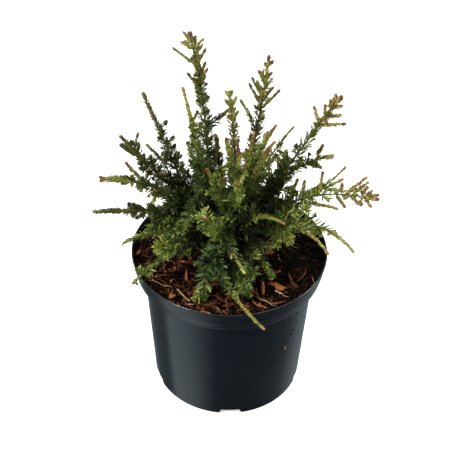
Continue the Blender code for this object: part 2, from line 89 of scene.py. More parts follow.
SOIL_LEVEL = 148.2
STEM_FOOT = SOIL_LEVEL + 0.3
STEM_GIRTH = ((0.0, 8.8), (1.6, 6.8), (4.5, 5.4), (10.0, 4.6), (20.0, 4.0), (32.0, 3.2), (50.0, 2.4), (78.5, 1.7))
STEM_LEAN = (69.0, 85.0)

# name: (height of its foot on the stem, azimuth, rise, length, change of rise, change of azimuth, foot radius, tip radius)
BOUGHS = {
    "tall_left": (172, 135, 50, 76, 30, 0, 2.3, 1.5),
    "tall_right": (170, 57, 50, 62, 30, 0, 2.2, 1.4),
    "mid_left": (168, 184, 55, 63, 20, -16, 1.9, 1.3),
    "upper_left": (164, 158, 44, 54, 1, 12, 2.2, 1.5),
    "left": (159, -169, 47, 58, 2, -7, 2.1, 1.4),
    "low_left": (154, -152, 41, 49, -6, 10, 2.0, 1.3),
    "front_centre": (168, -84, 56, 68, 20, 4, 2.1, 1.4),
    "right_centre": (172, -28, 55, 57, 38, 0, 2.0, 1.4),
    "upper_right": (166, 26, 45, 57, 12, -8, 2.3, 1.6),
    "right": (158, 8, 49, 68, -4, -18, 2.3, 1.5),
    "low_right": (153.5, -28, 52, 65, -8, 14, 2.0, 1.3),
    "front_right": (159, -61, 48, 46, -8, 0, 1.9, 1.3),
    "front": (153.5, -84, 17, 47, 0, -2, 2.0, 1.4),
    "front_left": (152.5, -120, 39, 47, -15, 9, 2.0, 1.4),
    "front_up": (163, -99, 46, 52, -3, 2, 1.9, 1.3),
    "back_left": (160, 124, 46, 46, -8, 4, 2.1, 1.4),
    "back_right": (158, 66, 44, 46, -8, -4, 2.1, 1.4),
}

# name: (grows from, how far along that, azimuth, rise, length, change of rise, change of azimuth,
#        reach of its leaves, green, length of its new growth at the tip, colour of the tip, part of the plant)
SHOOTS = {
    "tall_left": ("tall_left", 1.0, 116, 84, 124, -21, 4, 7.4, "sage", 12, "brown", "left"),
    "tall_right": ("tall_right", 1.0, 54, 71, 119, 10, 1, 6.8, "fresh", 9, "brown", "right"),
    "centre": ("stem", 1.0, 124, 88, 94, -12, 1, 7.2, "fresh", 8, "olive", "back"),
    "mid_left": ("mid_left", 1.0, 153, 84, 105, -10, 1, 7.8, "yellow", 30, "tan", "left"),
    "upper_left": ("upper_left", 1.0, 151, 64, 116, 0, 0, 7.2, "dark", 28, "olive", "left"),
    "left_fork": ("upper_left", 0.85, -176, 45, 107.5, 10, -3, 7.4, "dark", 12, "brown", "left"),
    "left": ("left", 1.0, 177, 54, 91.5, -54, 10, 7.4, "olive", 26, "red", "left"),
    "left_level": ("left", 0.8, -174, 21, 98, -20, 5, 7.0, "dark", 26, "olive", "left"),
    "left_low": ("low_left", 1.0, -186, 22, 71, -57, 10, 6.8, "mid", 4, "tan", "left"),
    "rim_left": ("low_left", 0.8, -156, -2, 80, -15, 26, 5.2, "light", 13, "olive", "left"),
    "left_tuft": ("low_left", 0.9, -142, 15, 45, 1, 0, 8.0, "light", 0, "pale", "left"),
    "front_spire": ("front_centre", 1.0, -124, 83, 82, -9, -1, 6.6, "yellow", 20, "red", "front"),
    "front_spire_right": ("front_centre", 0.9, -77, 70, 75, 31, 8, 7.0, "yellow", 17, "crimson", "front"),
    "front_tuft": ("front_centre", 0.8, -86, 59, 69, 0, 0, 7.6, "light", 8, "orange", "front"),
    "front_spire_left": ("front_centre", 0.55, -132, 66, 87, 0, 0, 7.6, "light", 12, "red", "front"),
    "centre_right": ("right_centre", 1.0, -68, 88, 75, -13, 1, 6.0, "yellow", 25, "amber", "front"),
    "centre_right_high": ("right_centre", 0.95, 24, 86, 78, -31, -3, 6.8, "spring", 16, "amber", "right"),
    "centre_right_front": ("right_centre", 0.75, -42, 81, 92, -20, 1, 6.4, "yellow", 30, "salmon", "front"),
    "right_thin": ("right_centre", 0.6, 42, 72, 94, -36, -8, 6.0, "sage", 15, "olive", "right"),
    "upper_right": ("upper_right", 1.0, 14, 57, 120, 0, 0, 8.4, "fresh", 10, "red", "right"),
    "right_fork": ("upper_right", 0.9, 22, 56, 80, -49, -13, 7.6, "sage", 9, "tan", "right"),
    "right_tuft": ("upper_right", 0.7, 36, 40, 63, 34, 6, 7.6, "fresh", 9, "olive", "right"),
    "right": ("right", 1.0, 2, 33, 80, -41, -10, 9.2, "spring", 3, "tan", "right"),
    "right_side": ("right", 0.9, 7, 28, 72, -22, 25, 8.8, "spring", 15, "olive", "right"),
    "right_droop": ("low_right", 1.0, -3, 16, 83, -62, -19, 9.2, "spring", 20, "olive", "right"),
    "rim_right": ("low_right", 0.9, -22, 33, 68, -73, -22, 8.4, "spring", 26, "orange", "right"),
    "right_low_tuft": ("low_right", 0.8, -44, 17, 33, -11, -4, 7.6, "spring", 0, "pale", "right"),
    "front_arch": ("front_right", 0.5, -38, 86, 83, -82, -9, 7.8, "light", 27, "orange", "front"),
    "front_right_low": ("front_right", 1.0, -72, -35, 33, -8, -26, 5.6, "mid", 0, "pale", "front"),
    "rim_front": ("front_left", 1.0, -66, -19, 93, 18, 15, 8.0, "mid", 42, "tan", "front"),
    "front_low": ("front", 0.8, -42, 16, 36, -48, -49, 7.0, "mid", 0, "pale", "front"),
    "front_left_low": ("front_left", 1.0, -112, -29, 39, 1, 22, 9.6, "blue", 0, "pale", "front"),
    "front_low_centre": ("front_left", 0.8, -72, -12, 25, -8, -5, 8.6, "blue", 0, "pale", "front"),
    "front_left_tuft": ("front_up", 0.8, -113, 46, 72, 11, 1, 8.0, "light", 5, "orange", "front"),
    "front_hang": ("front_up", 1.0, -64, -17, 38, -10, 7, 7.6, "spring", 17, "pale", "front"),
    "back_left": ("back_left", 1.0, 118, 36, 66, -14, -6, 7.6, "dark", 10, "olive", "back"),
    "back_left_low": ("back_left", 0.8, 152, 26, 66, -20, 4, 7.6, "mid", 8, "tan", "back"),
    "back_centre": ("back_left", 0.9, 88, 42, 70, -18, -4, 7.6, "sage", 10, "brown", "back"),
    "back_right": ("back_right", 1.0, 62, 30, 58, -16, -8, 7.6, "sage", 8, "red", "back"),
    "back_right_low": ("back_right", 0.8, 30, 22, 58, -16, -10, 7.4, "mid", 8, "olive", "back"),
}

# How thickly a shoot branches. The ones that aren't named branch fully.
BUSHY = {
    "front_spire": 0.5, "front_spire_right": 0.45, "front_tuft": 0.5, "front_spire_left": 0.5, "centre_right": 0.5, "centre_right_front": 0.5,
    "front_arch": 0.12, "front_right_low": 0.05, "rim_front": 0.0, "front_low": 0.1, "front_left_low": 0.0, "front_low_centre": 0.0,
    "front_left_tuft": 0.5, "front_hang": 0.15, "left_low": 0.2, "rim_left": 0.0, "left_tuft": 0.7, "right_droop": 0.7, "rim_right": 0.6,
    "right_low_tuft": 0.4, "right": 0.55, "right_side": 0.5, "left": 0.8, "left_level": 0.9, "centre_right_high": 0.6, "right_thin": 0.4,
    "right_fork": 0.5, "upper_right": 0.45, "tall_right": 0.35, "right_tuft": 0.6, "back_right": 0.5, "back_centre": 0.6, "centre": 0.5,
}

# How thick the new growth is on the shoots where it isn't of the common thickness.
GIRTHS = {
    "left": 2.0, "left_fork": 1.3, "upper_left": 1.35, "centre_right_front": 1.7, "centre_right": 1.0, "centre_right_high": 1.2, "right_tuft": 1.5, "left_level": 1.5,
    "left_low": 0.7, "rim_right": 0.8, "right_side": 0.95, "right_thin": 0.7, "rim_front": 0.72, "front_hang": 0.7, "front_spire_right": 1.15, "front_spire": 1.25,
    "thin_e": 0.62, "thin_f": 1.0, "thin_j": 1.2, "front_arch": 0.85, "rim_left": 0.7,
}

# How far apart the leaves of a shoot are along it, and how wide they are, where they aren't of the common kind.
LEAFING = {
    "tall_left": (0.38, 1.4), "upper_left": (0.32, 1.35), "left_fork": (0.32, 1.35), "left": (0.36, 1.4), "left_level": (0.36, 1.45),
    "mid_left": (0.34, 1.6), "centre": (0.34, 1.45), "tall_right": (0.35, 1.4), "upper_right": (0.40, 1.55), "right_fork": (0.36, 1.5),
    "right": (0.86, 1.35), "right_side": (0.86, 1.35), "right_droop": (0.80, 1.5), "rim_right": (0.80, 1.5), "thin_p": (0.86, 1.4),
    "right_low_tuft": (0.46, 1.5), "right_tuft": (0.38, 1.5), "right_thin": (0.60, 1.3), "front_left_low": (0.64, 2.4), "front_low_centre": (0.64, 2.4),
    "rim_front": (0.64, 2.2), "front_low": (0.64, 2.1), "front_right_low": (0.64, 2.1), "rim_left": (0.60, 1.9), "front_hang": (0.58, 2.0), "front_arch": (0.58, 1.7),
}

# The shoots whose leaves part to their two sides like a comb's teeth: how much they do, and their angle.
COMBS = {"right": (0.60, 74), "right_side": (0.60, 72), "right_droop": (0.55, 66), "rim_right": (0.55, 66), "thin_p": (0.55, 70), "upper_right": (0.35, 58), "front_arch": (0.55, 66)}

# How thick the new growth on the sides of a shoot is.
SIDE_GIRTHS = {"right_fork": 1.3, "right": 1.12, "upper_right": 1.12, "right_side": 1.05, "tall_right": 0.95, "centre_right": 1.5}

# Slender side shoots too thin to have a solid of their own. The first word is the shoot or bough that each leaves.
THIN_SHOOTS = {
    "thin_a": ("tall_left", 0.30, 44, 2, 30, 13, 5, 7.6, "dark", 8, "olive", "back"),
    "thin_b": ("left_fork", 0.25, 130, 57, 54, -35, 14, 4.6, "dark", 14, "olive", "left"),
    "thin_c": ("left", 0.52, -174, 44, 34, 18, -1, 4.0, "olive", 14, "red", "left"),
    "thin_d": ("tall_right", 0.38, 127, 54, 32, -18, 7, 4.6, "sage", 14, "olive", "right"),
    "thin_e": ("right_side", 0.45, 7, 32, 50, 30, -25, 5.0, "spring", 24, "tan", "right"),
    "thin_f": ("bough right", 0.95, 4, 21, 57, -38, -9, 6.4, "spring", 20, "olive", "right"),
    "thin_g": ("bough front_right", 1.0, -28, -29, 29, 60, 21, 5.6, "light", 0, "pale", "front"),
    "thin_h": ("bough front_right", 0.9, -35, -30, 41, 1, -24, 5.6, "mid", 0, "pale", "front"),
    "thin_i": ("bough front", 1.0, -56, -8, 14, -14, -8, 7.0, "mid", 0, "pale", "front"),
    "thin_j": ("left", 0.42, -173, -66, 28, -1, -25, 4.6, "olive", 19, "orange", "left"),
    "thin_k": ("bough tall_left", 0.55, 37, 78, 68, 24, -10, 7.4, "dark", 7, "tan", "back"),
    "thin_l": ("left_level", 0.20, 191, 1, 28, -41, 19, 8.2, "mid", 0, "pale", "left"),
    "thin_m": ("bough mid_left", 1.0, -127, -44, 50, 57, 24, 8.6, "mid", 0, "pale", "left"),
    "thin_n": ("bough low_left", 0.9, 161, 38, 33, -7, 25, 8.2, "mid", 0, "pale", "left"),
    "thin_o": ("left", 0.12, 171, -2, 30, -45, 6, 8.0, "dark", 0, "pale", "left"),
    "thin_p": ("bough right", 0.8, -52, 26, 49, 16, 25, 8.6, "spring", 0, "pale", "right"),
    "thin_q": ("bough tall_left", 0.30, 91, 112, 61, -16, -7, 8.0, "mid", 0, "pale", "back"),
}

# The new growth on the sides of a shoot: (how far along, which way it points as a clock angle seen from the front
# and above, with 0 to the right and 90 up, length, colour of the tip). A tuft is a short twig of spreading leaves.
SIDES = {
    "tall_left": (
        (0.92, 126, 13, "olive"), (0.93, 109, 9, "brown"), (0.9, 83, 10, "brown"), (0.88, 146, 13, "tan"), (0.88, 134, 11, "olive"), (0.9, 41, 10, "olive"),
        (0.85, 54, 10, "olive"), (0.76, 141, 26, "olive"), (0.78, 61, 14, "brown"), (0.68, 70, 13, "brown"), (0.66, 56, 11, "red"), (0.68, 82, 8, "brown"),
        (0.59, 128, 18, "brown"), (0.5, 25, 6, "ball"), (0.62, 150, 7, "tuft"), (0.58, 50, 6, "tuft"), (0.55, 140, 7, "tuft"), (0.63, 60, 7, "tuft"),
        (0.80, 88, 14, "tan"), (0.74, 97, 15, "olive"), (0.70, 102, 13, "olive"), (0.66, 95, 12, "olive"), (0.47, 155, 6, "tuft")),
    "mid_left": ((0.66, 70, 12, "brown"), (0.55, 50, 9, "tuft")),
    "upper_left": (
        (0.68, 43, 10, "ball"), (0.54, 41, 10, "ball"), (0.6, 100, 7, "tuft"), (0.48, 160, 7, "tuft"), (0.5, 25, 7, "tuft"),
        (0.38, 150, 9, "tuft"), (0.4, 20, 8, "tuft"), (0.57, 150, 6, "tuft"), (0.44, 60, 8, "tuft"), (0.34, 100, 8, "tuft")),
    "left_fork": (
        (0.84, 75, 15, "brown"), (0.72, 143, 23, "deep"), (0.8, 68, 9, "ball"), (0.85, 94, 7, "ball"), (0.63, 70, 9, "ball"), (0.7, -141, 5, "ball"),
        (0.66, -120, 6, "tuft"), (0.58, -115, 7, "tuft"), (0.52, 55, 8, "tuft"), (0.45, -120, 8, "tuft"), (0.6, 60, 8, "tuft"), (0.74, 100, 8, "tuft"), (0.4, 70, 8, "tuft")),
    "left": (
        (0.68, -135, 4, "orange"), (0.97, 165, 5, "brown"), (0.97, -165, 5, "brown"), (0.74, 130, 5, "ball"), (0.78, -120, 4, "ball"), (0.7, 100, 5, "ball"),
        (0.6, -100, 6, "tuft"), (0.56, 80, 7, "tuft"), (0.5, -95, 8, "tuft"), (0.63, 60, 5, "ball")),
    "left_level": (
        (0.64, 110, 8, "ball"), (0.61, 105, 5, "ball"), (0.65, -65, 6, "ball"), (0.61, -70, 5, "tuft"), (0.56, -60, 5, "tuft"),
        (0.5, 70, 6, "tuft"), (0.57, 85, 5, "ball")),
    "tall_right": (
        (0.92, 48, 6, "brown"), (0.9, 108, 5, "olive"), (0.77, 109, 13, "brown"), (0.81, 53, 8, "olive"), (0.81, 111, 4, "brown"), (0.75, 45, 9, "tuft"),
        (0.67, 117, 20, "tan"), (0.69, 112, 13, "olive"), (0.61, 119, 22, "olive"), (0.66, 48, 14, "olive"), (0.58, 46, 23, "brown")),
    "centre": ((0.94, 120, 7, "olive"), (0.94, 75, 6, "tan"), (0.83, 70, 11, "olive"), (0.84, 125, 8, "olive"), (0.72, 55, 8, "olive")),
    "centre_right_high": ((0.78, 75, 8, "orange"), (0.72, 80, 10, "olive"), (0.66, 60, 8, "tuft")),
    "centre_right_front": ((0.88, 60, 3, "red"), (0.75, 100, 4, "red")),
    "front_spire_right": ((0.61, 51, 7, "orange"),),
    "centre_right": ((0.51, 106, 9, "crimson"), (0.51, 130, 7, "tuft")),
    "front_tuft": ((0.95, 150, 5, "rosette"), (0.83, 70, 5, "orange"), (0.96, 60, 8, "olive"), (0.02, 200, 9, "rosette"), (0.6, 20, 7, "rosette")),
    "upper_right": (
        (0.92, 80, 9, "orange"), (0.88, 75, 9, "orange"), (0.92, 45, 9, "tan"), (0.86, 85, 9, "red"), (0.79, 85, 11, "orange"),
        (0.88, 20, 9, "orange"), (0.8, 10, 13, "red"), (0.72, 5, 23, "brown"), (0.73, 105, 17, "red"), (0.78, -40, 3, "orange")),
    "right_fork": ((0.8, 62, 15, "olive"), (0.88, 5, 9, "tan"), (0.7, -15, 13, "tan"), (0.68, 80, 9, "tuft"), (0.6, 30, 8, "tuft"), (0.75, -50, 6, "tuft")),
    "right": (
        (1.0, 4, 13, "red"), (1.0, -11, 14, "brown"), (1.0, 34, 9, "tan"), (0.98, 60, 10, "tan"), (1.0, -49, 11, "tan"), (0.98, -94, 7, "brown"), (0.98, 87, 4, "red"),
        (0.8, 38, 24, "amber"), (0.86, 35, 19, "amber"), (0.74, 83, 9, "red"), (0.68, -51, 14, "red"), (0.84, -41, 12, "olive"), (0.74, -39, 5, "tan"),
        (0.49, 80, 21, "red"), (0.12, 67, 23, "orange"), (0.28, 78, 17, "olive")),
    "right_side": ((0.7, -5, 14, "olive"),),
    "right_droop": ((0.6, -27, 15, "amber"), (0.5, -80, 8, "tuft"), (0.4, -85, 8, "tuft")),
    "left_tuft": ((0.95, 165, 7, "tuft"), (0.9, -80, 9, "tuft"), (0.9, 95, 9, "tuft"), (0.7, -100, 10, "tuft"), (0.7, 110, 9, "tuft")),
    "front_left_tuft": ((0.95, 165, 8, "light"), (0.9, 20, 5, "light"), (0.86, -80, 7, "light"), (0.8, 205, 10, "light"), (0.97, 95, 8, "light"), (0.75, -120, 8, "tuft")),
    "front_left_low": ((0.0, 140, 9, "rosette"), (0.08, 195, 14, "tuft"), (0.12, 10, 7, "rosette"), (0.02, 100, 9, "tuft"), (0.95, 212, 10, "light")),
    "front_low_centre": ((0.1, 60, 9, "tuft"), (0.5, 200, 6, "tuft")),
    "front_right_low": ((0.9, -30, 8, "rosette"), (0.25, 110, 8, "light"), (0.5, 20, 7, "light"), (0.6, 190, 7, "tuft"), (0.8, 215, 7, "tuft")),
    "front_low": ((0.35, 215, 8, "tuft"), (0.5, 80, 7, "rosette"), (0.6, 200, 9, "tuft")),
    "front_spire_left": ((0.1, -100, 12, "rosette"), (0.62, 63, 12, "orange"), (0.7, 40, 5, "rosette")),
    "rim_front": ((0.49, 25, 16, "tuft"), (0.45, 35, 10, "tuft")),
    "front_hang": ((0.0, 185, 8, "rosette"), (0.1, 60, 6, "tuft"), (0.2, 220, 5, "tuft")),
    "rim_left": ((0.86, 100, 5, "tuft"), (0.93, -90, 4, "tuft"), (0.75, -80, 5, "tuft")),
    "right_tuft": ((0.7, 100, 10, "tuft"), (0.8, 20, 8, "tuft"), (0.9, 140, 8, "tuft"), (0.5, 140, 9, "tuft")),
}

# ---------------------------------------------------------------- colours, as linear base colours
COLOURS = {
    "shade": (0.010, 0.017, 0.006),
    "deep": (0.034, 0.052, 0.015),
    "green": (0.058, 0.090, 0.017),
    "grass": (0.090, 0.136, 0.021),
    "moss": (0.115, 0.125, 0.028),
    "blue_deep": (0.042, 0.080, 0.028),
    "blue": (0.082, 0.148, 0.046),
    "light": (0.152, 0.204, 0.034),
    "lime": (0.255, 0.290, 0.048),
    "olive": (0.175, 0.155, 0.034),
    "yellow": (0.310, 0.270, 0.060),
    "pale": (0.420, 0.400, 0.130),
    "tan": (0.250, 0.150, 0.056),
    "amber": (0.300, 0.150, 0.048),
    "salmon": (0.330, 0.135, 0.062),
    "orange": (0.250, 0.104, 0.026),
    "red": (0.172, 0.052, 0.022),
    "brown": (0.120, 0.050, 0.027),
}
COLOUR_NAMES = list(COLOURS)

# A green runs from a shoot's foot to the start of its new growth: the mix at the foot, half way and at the end.
GREENS = {
    "dark": (("shade", "deep", "green"), ("deep", "green", "moss", "green"), ("moss", "olive", "moss")),
    "sage": (("green", "deep", "moss", "green"), ("green", "moss", "grass", "moss"), ("moss", "olive", "grass", "olive")),
    "fresh": (("green", "moss", "green"), ("moss", "grass", "olive", "grass"), ("olive", "yellow", "olive", "light")),
    "mid": (("deep", "green", "deep"), ("green", "grass", "green"), ("grass", "light", "grass")),
    "light": (("shade", "green", "green"), ("grass", "green", "light"), ("light", "lime", "grass", "lime")),
    "blue": (("blue_deep", "blue", "green"), ("blue", "blue_deep", "blue"), ("blue", "grass", "blue", "light")),
    "yellow": (("deep", "green", "green"), ("grass", "green", "grass", "light"), ("light", "yellow", "lime", "grass")),
    "olive": (("shade", "deep", "green"), ("deep", "green", "moss"), ("olive", "moss", "olive", "yellow")),
    "spring": (("grass", "green", "light", "grass"), ("light", "grass", "light", "grass", "lime"), ("light", "yellow", "lime", "light")),
}
# New growth: the mix along it up to its tip.
NEW_GROWTH = {
    "dark": ("olive", "moss", "green", "moss"),
    "sage": ("olive", "yellow", "olive", "moss"),
    "deep": ("green", "moss", "deep", "green"),
    "fresh": ("yellow", "olive", "yellow", "lime"),
    "mid": ("lime", "light", "yellow"),
    "light": ("lime", "light", "lime", "yellow"),
    "blue": ("blue", "light", "lime"),
    "yellow": ("lime", "yellow", "yellow"),
    "olive": ("yellow", "olive", "lime", "olive"),
    "spring": ("lime", "yellow", "olive", "yellow"),
    "dusk": ("olive", "moss", "olive", "green"),
    "warm": ("olive", "tan", "yellow", "amber"),
}
TIPS = {
    "red": ("red", "red", "orange"),
    "orange": ("orange", "orange", "tan"),
    "tan": ("tan", "yellow", "tan"),
    "brown": ("brown", "brown", "red"),
    "crimson": ("red", "red", "orange", "red"),
    "deep": ("deep", "green", "moss"),
    "olive": ("olive", "yellow", "olive"),
    "pale": ("pale", "lime", "pale"),
    "amber": ("amber", "tan", "olive", "yellow"),
    "salmon": ("amber", "salmon", "orange", "tan", "salmon", "tan"),
}
# How much of the new growth takes the colour of the tip, where it's more than the tip itself.
TIP_SHARES = {"amber": 0.55, "salmon": 0.82, "crimson": 0.65}
# The colours that the new growth takes on below its tip.
BLUSH = {"red": ("tan", "orange", "tan", "amber"), "orange": ("tan", "amber", "yellow"), "brown": ("olive", "tan", "brown"), "tan": ("tan", "yellow", "tan"), "crimson": ("tan", "yellow"), "amber": ("tan", "olive"), "salmon": ("tan", "salmon")}


# ---------------------------------------------------------------- limbs
def heading(azimuth, rise):
    a, e = math.radians(azimuth), math.radians(rise)
    return np.array([math.cos(e) * math.cos(a), math.cos(e) * math.sin(a), math.sin(e)])


def limb(start, azimuth, rise, length, lift, swing, steps=20):
    """The middle line of a limb: it sets out at azimuth and rise, which change evenly along it."""
    points = [np.array(start, float)]
    for i in range(steps):
        s = (i + 0.5) / steps
        points.append(points[-1] + heading(azimuth + swing * s, rise + lift * s) * length / steps)
    return np.array(points)


def unit(v):
    v = np.asarray(v, float)
    return v / np.maximum(np.linalg.norm(v, axis=-1, keepdims=True), 1e-12)


class Limb:
    """A limb's middle line, with two axes across it that turn along with it and don't twist."""

    def __init__(self, points):
        self.points = np.asarray(points, float)
        steps = np.diff(self.points, axis=0)
        self.reached = np.concatenate([[0.0], np.cumsum(np.linalg.norm(steps, axis=1))])
        self.length = float(self.reached[-1])
        self.ahead = unit(np.vstack([steps[:1], steps[1:] + steps[:-1], steps[-1:]]))
        first = self.ahead[0]
        side = np.cross(first, (0.0, 0.0, 1.0) if abs(first[2]) < 0.9 else (0.0, 1.0, 0.0))
        sides = []
        for direction in self.ahead:
            side = unit(side - direction * np.dot(side, direction))
            sides.append(side)
        self.side = np.array(sides)

    def at(self, distance):
        """Point, direction and two cross axes at these distances along the limb."""
        distance = np.atleast_1d(distance)
        rows = [np.stack([np.interp(distance, self.reached, values[:, i]) for i in range(3)], axis=1) for values in (self.points, self.ahead, self.side)]
        ahead = unit(rows[1])
        side = unit(rows[2] - ahead * np.sum(rows[2] * ahead, axis=1, keepdims=True))
        return rows[0], ahead, side, np.cross(side, ahead)


def at_height(points, height):
    k = int(np.clip(np.searchsorted(points[:, 2], height), 1, len(points) - 1))
    t = (height - points[k - 1, 2]) / (points[k, 2] - points[k - 1, 2])
    return points[k - 1] + (points[k] - points[k - 1]) * t


def between(table, x):
    return np.interp(x, [row[0] for row in table], [row[1] for row in table])


def bent_twig(start, direction, toward, turn, length, steps=8):
    """A twig that sets out in one direction and turns towards another by this share of the way."""
    points = [np.array(start, float)]
    for i in range(steps):
        s = (i + 0.5) / steps
        points.append(points[-1] + unit(direction * (1 - turn * s) + toward * turn * s) * length / steps)
    return Limb(points)


# ---------------------------------------------------------------- piles of small meshes
class Pile:
    """Triangles that become one piece, each with the number of its material."""

    def __init__(self, materials):
        self.materials = materials
        self.verts, self.tris, self.kinds, self.count = [], [], [], 0

    def add(self, verts, tris, kind):
        verts, tris = np.asarray(verts, float), np.asarray(tris, int)
        self.verts.append(verts)
        self.tris.append(tris + self.count)
        self.kinds.append(np.broadcast_to(np.asarray(kind, int), (len(tris),)))
        self.count += len(verts)

    def triangles(self):
        return sum(len(t) for t in self.tris)

    def build(self, name, smooth=True):
        verts = (np.vstack(self.verts) * MM).astype(np.float32)
        tris = np.vstack(self.tris).astype(np.int32)
        kinds = np.concatenate(self.kinds).astype(np.int32)
        mesh = bpy.data.meshes.new(name)
        mesh.vertices.add(len(verts))
        mesh.vertices.foreach_set("co", verts.ravel())
        mesh.loops.add(len(tris) * 3)
        mesh.loops.foreach_set("vertex_index", tris.ravel())
        mesh.polygons.add(len(tris))
        mesh.polygons.foreach_set("loop_start", np.arange(0, len(tris) * 3, 3, dtype=np.int32))
        used = sorted(set(kinds.tolist()))
        renumber = np.zeros(len(self.materials), np.int32)
        for slot, kind in enumerate(used):
            renumber[kind] = slot
            mesh.materials.append(self.materials[kind])
        mesh.polygons.foreach_set("material_index", renumber[kinds])
        mesh.update(calc_edges=True)
        mesh.validate()
        if smooth:
            mesh.shade_smooth()
        obj = bpy.data.objects.new(name, mesh)
        bpy.context.scene.collection.objects.link(obj)
        return obj


def tube(pile, limb_line, distances, radii, sides, kind, closed_tip=True):
    """A round limb of these radii at these distances, closed to a point at its tip."""
    centre, ahead, side, up = limb_line.at(distances)
    turn = 2 * math.pi * np.arange(sides) / sides
    ring = np.cos(turn)[None, :, None] * side[:, None, :] + np.sin(turn)[None, :, None] * up[:, None, :]
    verts = centre[:, None, :] + ring * np.asarray(radii)[:, None, None]
    n = len(centre)
    verts = verts.reshape(-1, 3)
    tris = []
    k = np.arange(n - 1)[:, None] * sides
    i = np.arange(sides)[None, :]
    j = (i + 1) % sides
    a, b, c, d = k + i, k + j, k + sides + j, k + sides + i
    tris.append(np.stack([a, c, b], axis=2).reshape(-1, 3))
    tris.append(np.stack([a, d, c], axis=2).reshape(-1, 3))
    if closed_tip:
        verts = np.vstack([verts, centre[-1] + ahead[-1] * radii[-1] * 0.8])
        last = (n - 1) * sides
        tris.append(np.stack([np.full(sides, len(verts) - 1), last + j[0], last + i[0]], axis=1))
    pile.add(verts, np.vstack(tris), kind)


# ---------------------------------------------------------------- leaves
# across, along, and depth of the fold, as shares of the width, the length and the width
BLADE = np.array(
    [
        (0.0, 0.0, 0.0),
        (-0.42, 0.22, 0.0),
        (0.42, 0.22, 0.0),
        (-0.50, 0.60, 0.0),
        (0.0, 0.60, -0.28),
        (0.50, 0.60, 0.0),
        (-0.34, 0.90, 0.0),
        (0.34, 0.90, 0.0),
        (0.0, 1.0, -0.03),
    ]
)
BLADE_TRIS = np.array([(0, 2, 1), (1, 2, 4), (1, 4, 3), (2, 5, 4), (3, 4, 6), (4, 5, 7), (4, 7, 6), (6, 7, 8)])
SCALE = np.array([(0.0, 0.0, 0.0), (-0.5, 0.48, 0.0), (0.0, 0.5, -0.22), (0.5, 0.48, 0.0), (0.0, 1.0, 0.0)])
SCALE_TRIS = np.array([(0, 2, 1), (0, 3, 2), (1, 2, 4), (2, 3, 4)])


class Leaves:
    """Every leaf of one part of the plant, kept as rows until the piece is made."""

    def __init__(self):
        self.rows = {"blade": [], "scale": []}

    def add(self, base, ahead, face, length, width, bend, sweep, colour, shape="blade"):
        n = len(base)
        self.rows[shape].append(
            (
                base,
                unit(ahead),
                unit(face),
                np.broadcast_to(length, (n,)),
                np.broadcast_to(width, (n,)),
                np.broadcast_to(bend, (n,)),
                np.broadcast_to(sweep, (n, 3)),
                np.broadcast_to(colour, (n,)),
            )
        )

    def count(self):
        return sum(len(r[0]) for rows in self.rows.values() for r in rows)

    def pile(self, materials):
        made = Pile(materials)
        for shape, form, form_tris in (("blade", BLADE, BLADE_TRIS), ("scale", SCALE, SCALE_TRIS)):
            base, ahead, face, length, width, bend, sweep, colour = (np.concatenate(column) for column in zip(*self.rows[shape]))
            across = np.cross(ahead, face)
            x, y, z = form[:, 0], form[:, 1], form[:, 2]
            verts = (
                base[:, None, :]
                + ahead[:, None, :] * (y[None, :] * length[:, None])[:, :, None]
                + across[:, None, :] * (x[None, :] * width[:, None])[:, :, None]
                + face[:, None, :] * (z[None, :] * width[:, None] + (bend * length)[:, None] * (y**2)[None, :])[:, :, None]
                + sweep[:, None, :] * (length[:, None] * (y**2)[None, :])[:, :, None]
            )
            tris = form_tris[None, :, :] + (np.arange(len(base)) * len(form))[:, None, None]
            made.add(verts.reshape(-1, 3), tris.reshape(-1, 3), np.repeat(colour, len(form_tris)))
        return made


def colours_of(names):
    return np.array([COLOUR_NAMES.index(n) for n in names])


SHADE = COLOUR_NAMES.index("shade")
GREEN_CODES = {key: [colours_of(mix) for mix in mixes] for key, mixes in GREENS.items()}
NEW_CODES = {key: colours_of(mix) for key, mix in NEW_GROWTH.items()}
TIP_CODES = {key: colours_of(mix) for key, mix in TIPS.items()}
BLUSH_CODES = {key: colours_of(mix) for key, mix in BLUSH.items()}


def green_at(green, share, rng):
    """The colour of each leaf, by how far along its shoot it is. Most of the leaves of a spray are of one colour."""
    mixes = GREEN_CODES[green]
    x = np.clip(share + rng.normal(0, 0.09, len(share)), 0, 1) * 2.999
    stage = np.clip(x.astype(int), 0, 2)
    made = np.empty(len(share), int)
    for k in range(3):
        picks = mixes[k][rng.integers(0, len(mixes[k]), len(share))]
        main = mixes[k][rng.integers(0, len(mixes[k]))]
        picks = np.where(rng.uniform(0, 1, len(share)) < 0.6, main, picks)
        made[stage == k] = picks[stage == k]
    return made


class Plant:
    def __init__(self):
        self.leaves = {}
        self.twig_kinds = {}

    def leaves_of(self, part):
        return self.leaves.setdefault(part, Leaves())


plant = Plant()
TWIG_COLOURS = {"bark": (0.036, 0.032, 0.013), "green_bark": (0.060, 0.066, 0.017), "new_bark": (0.180, 0.165, 0.036), "red_bark": (0.160, 0.060, 0.026)}
TWIG_NAMES = list(TWIG_COLOURS)


def material(name, colour, roughness, specular=0.5):
    made = bpy.data.materials.new(name)
    made.use_nodes = True
    shader = made.node_tree.nodes["Principled BSDF"]
    shader.inputs["Base Color"].default_value = (*colour, 1.0)
    shader.inputs["Roughness"].default_value = roughness
    shader.inputs["Specular IOR Level"].default_value = specular
    return made


leaf_materials = [material("leaf_" + n, tuple(0.94 * v for v in c), 0.39, 0.36) for n, c in COLOURS.items()]
twig_materials = [material("twig_" + n, c, 0.8, 0.3) for n, c in TWIG_COLOURS.items()]
twigs = Pile(twig_materials)
buds = Pile(leaf_materials)

GOLDEN = math.radians(137.5)


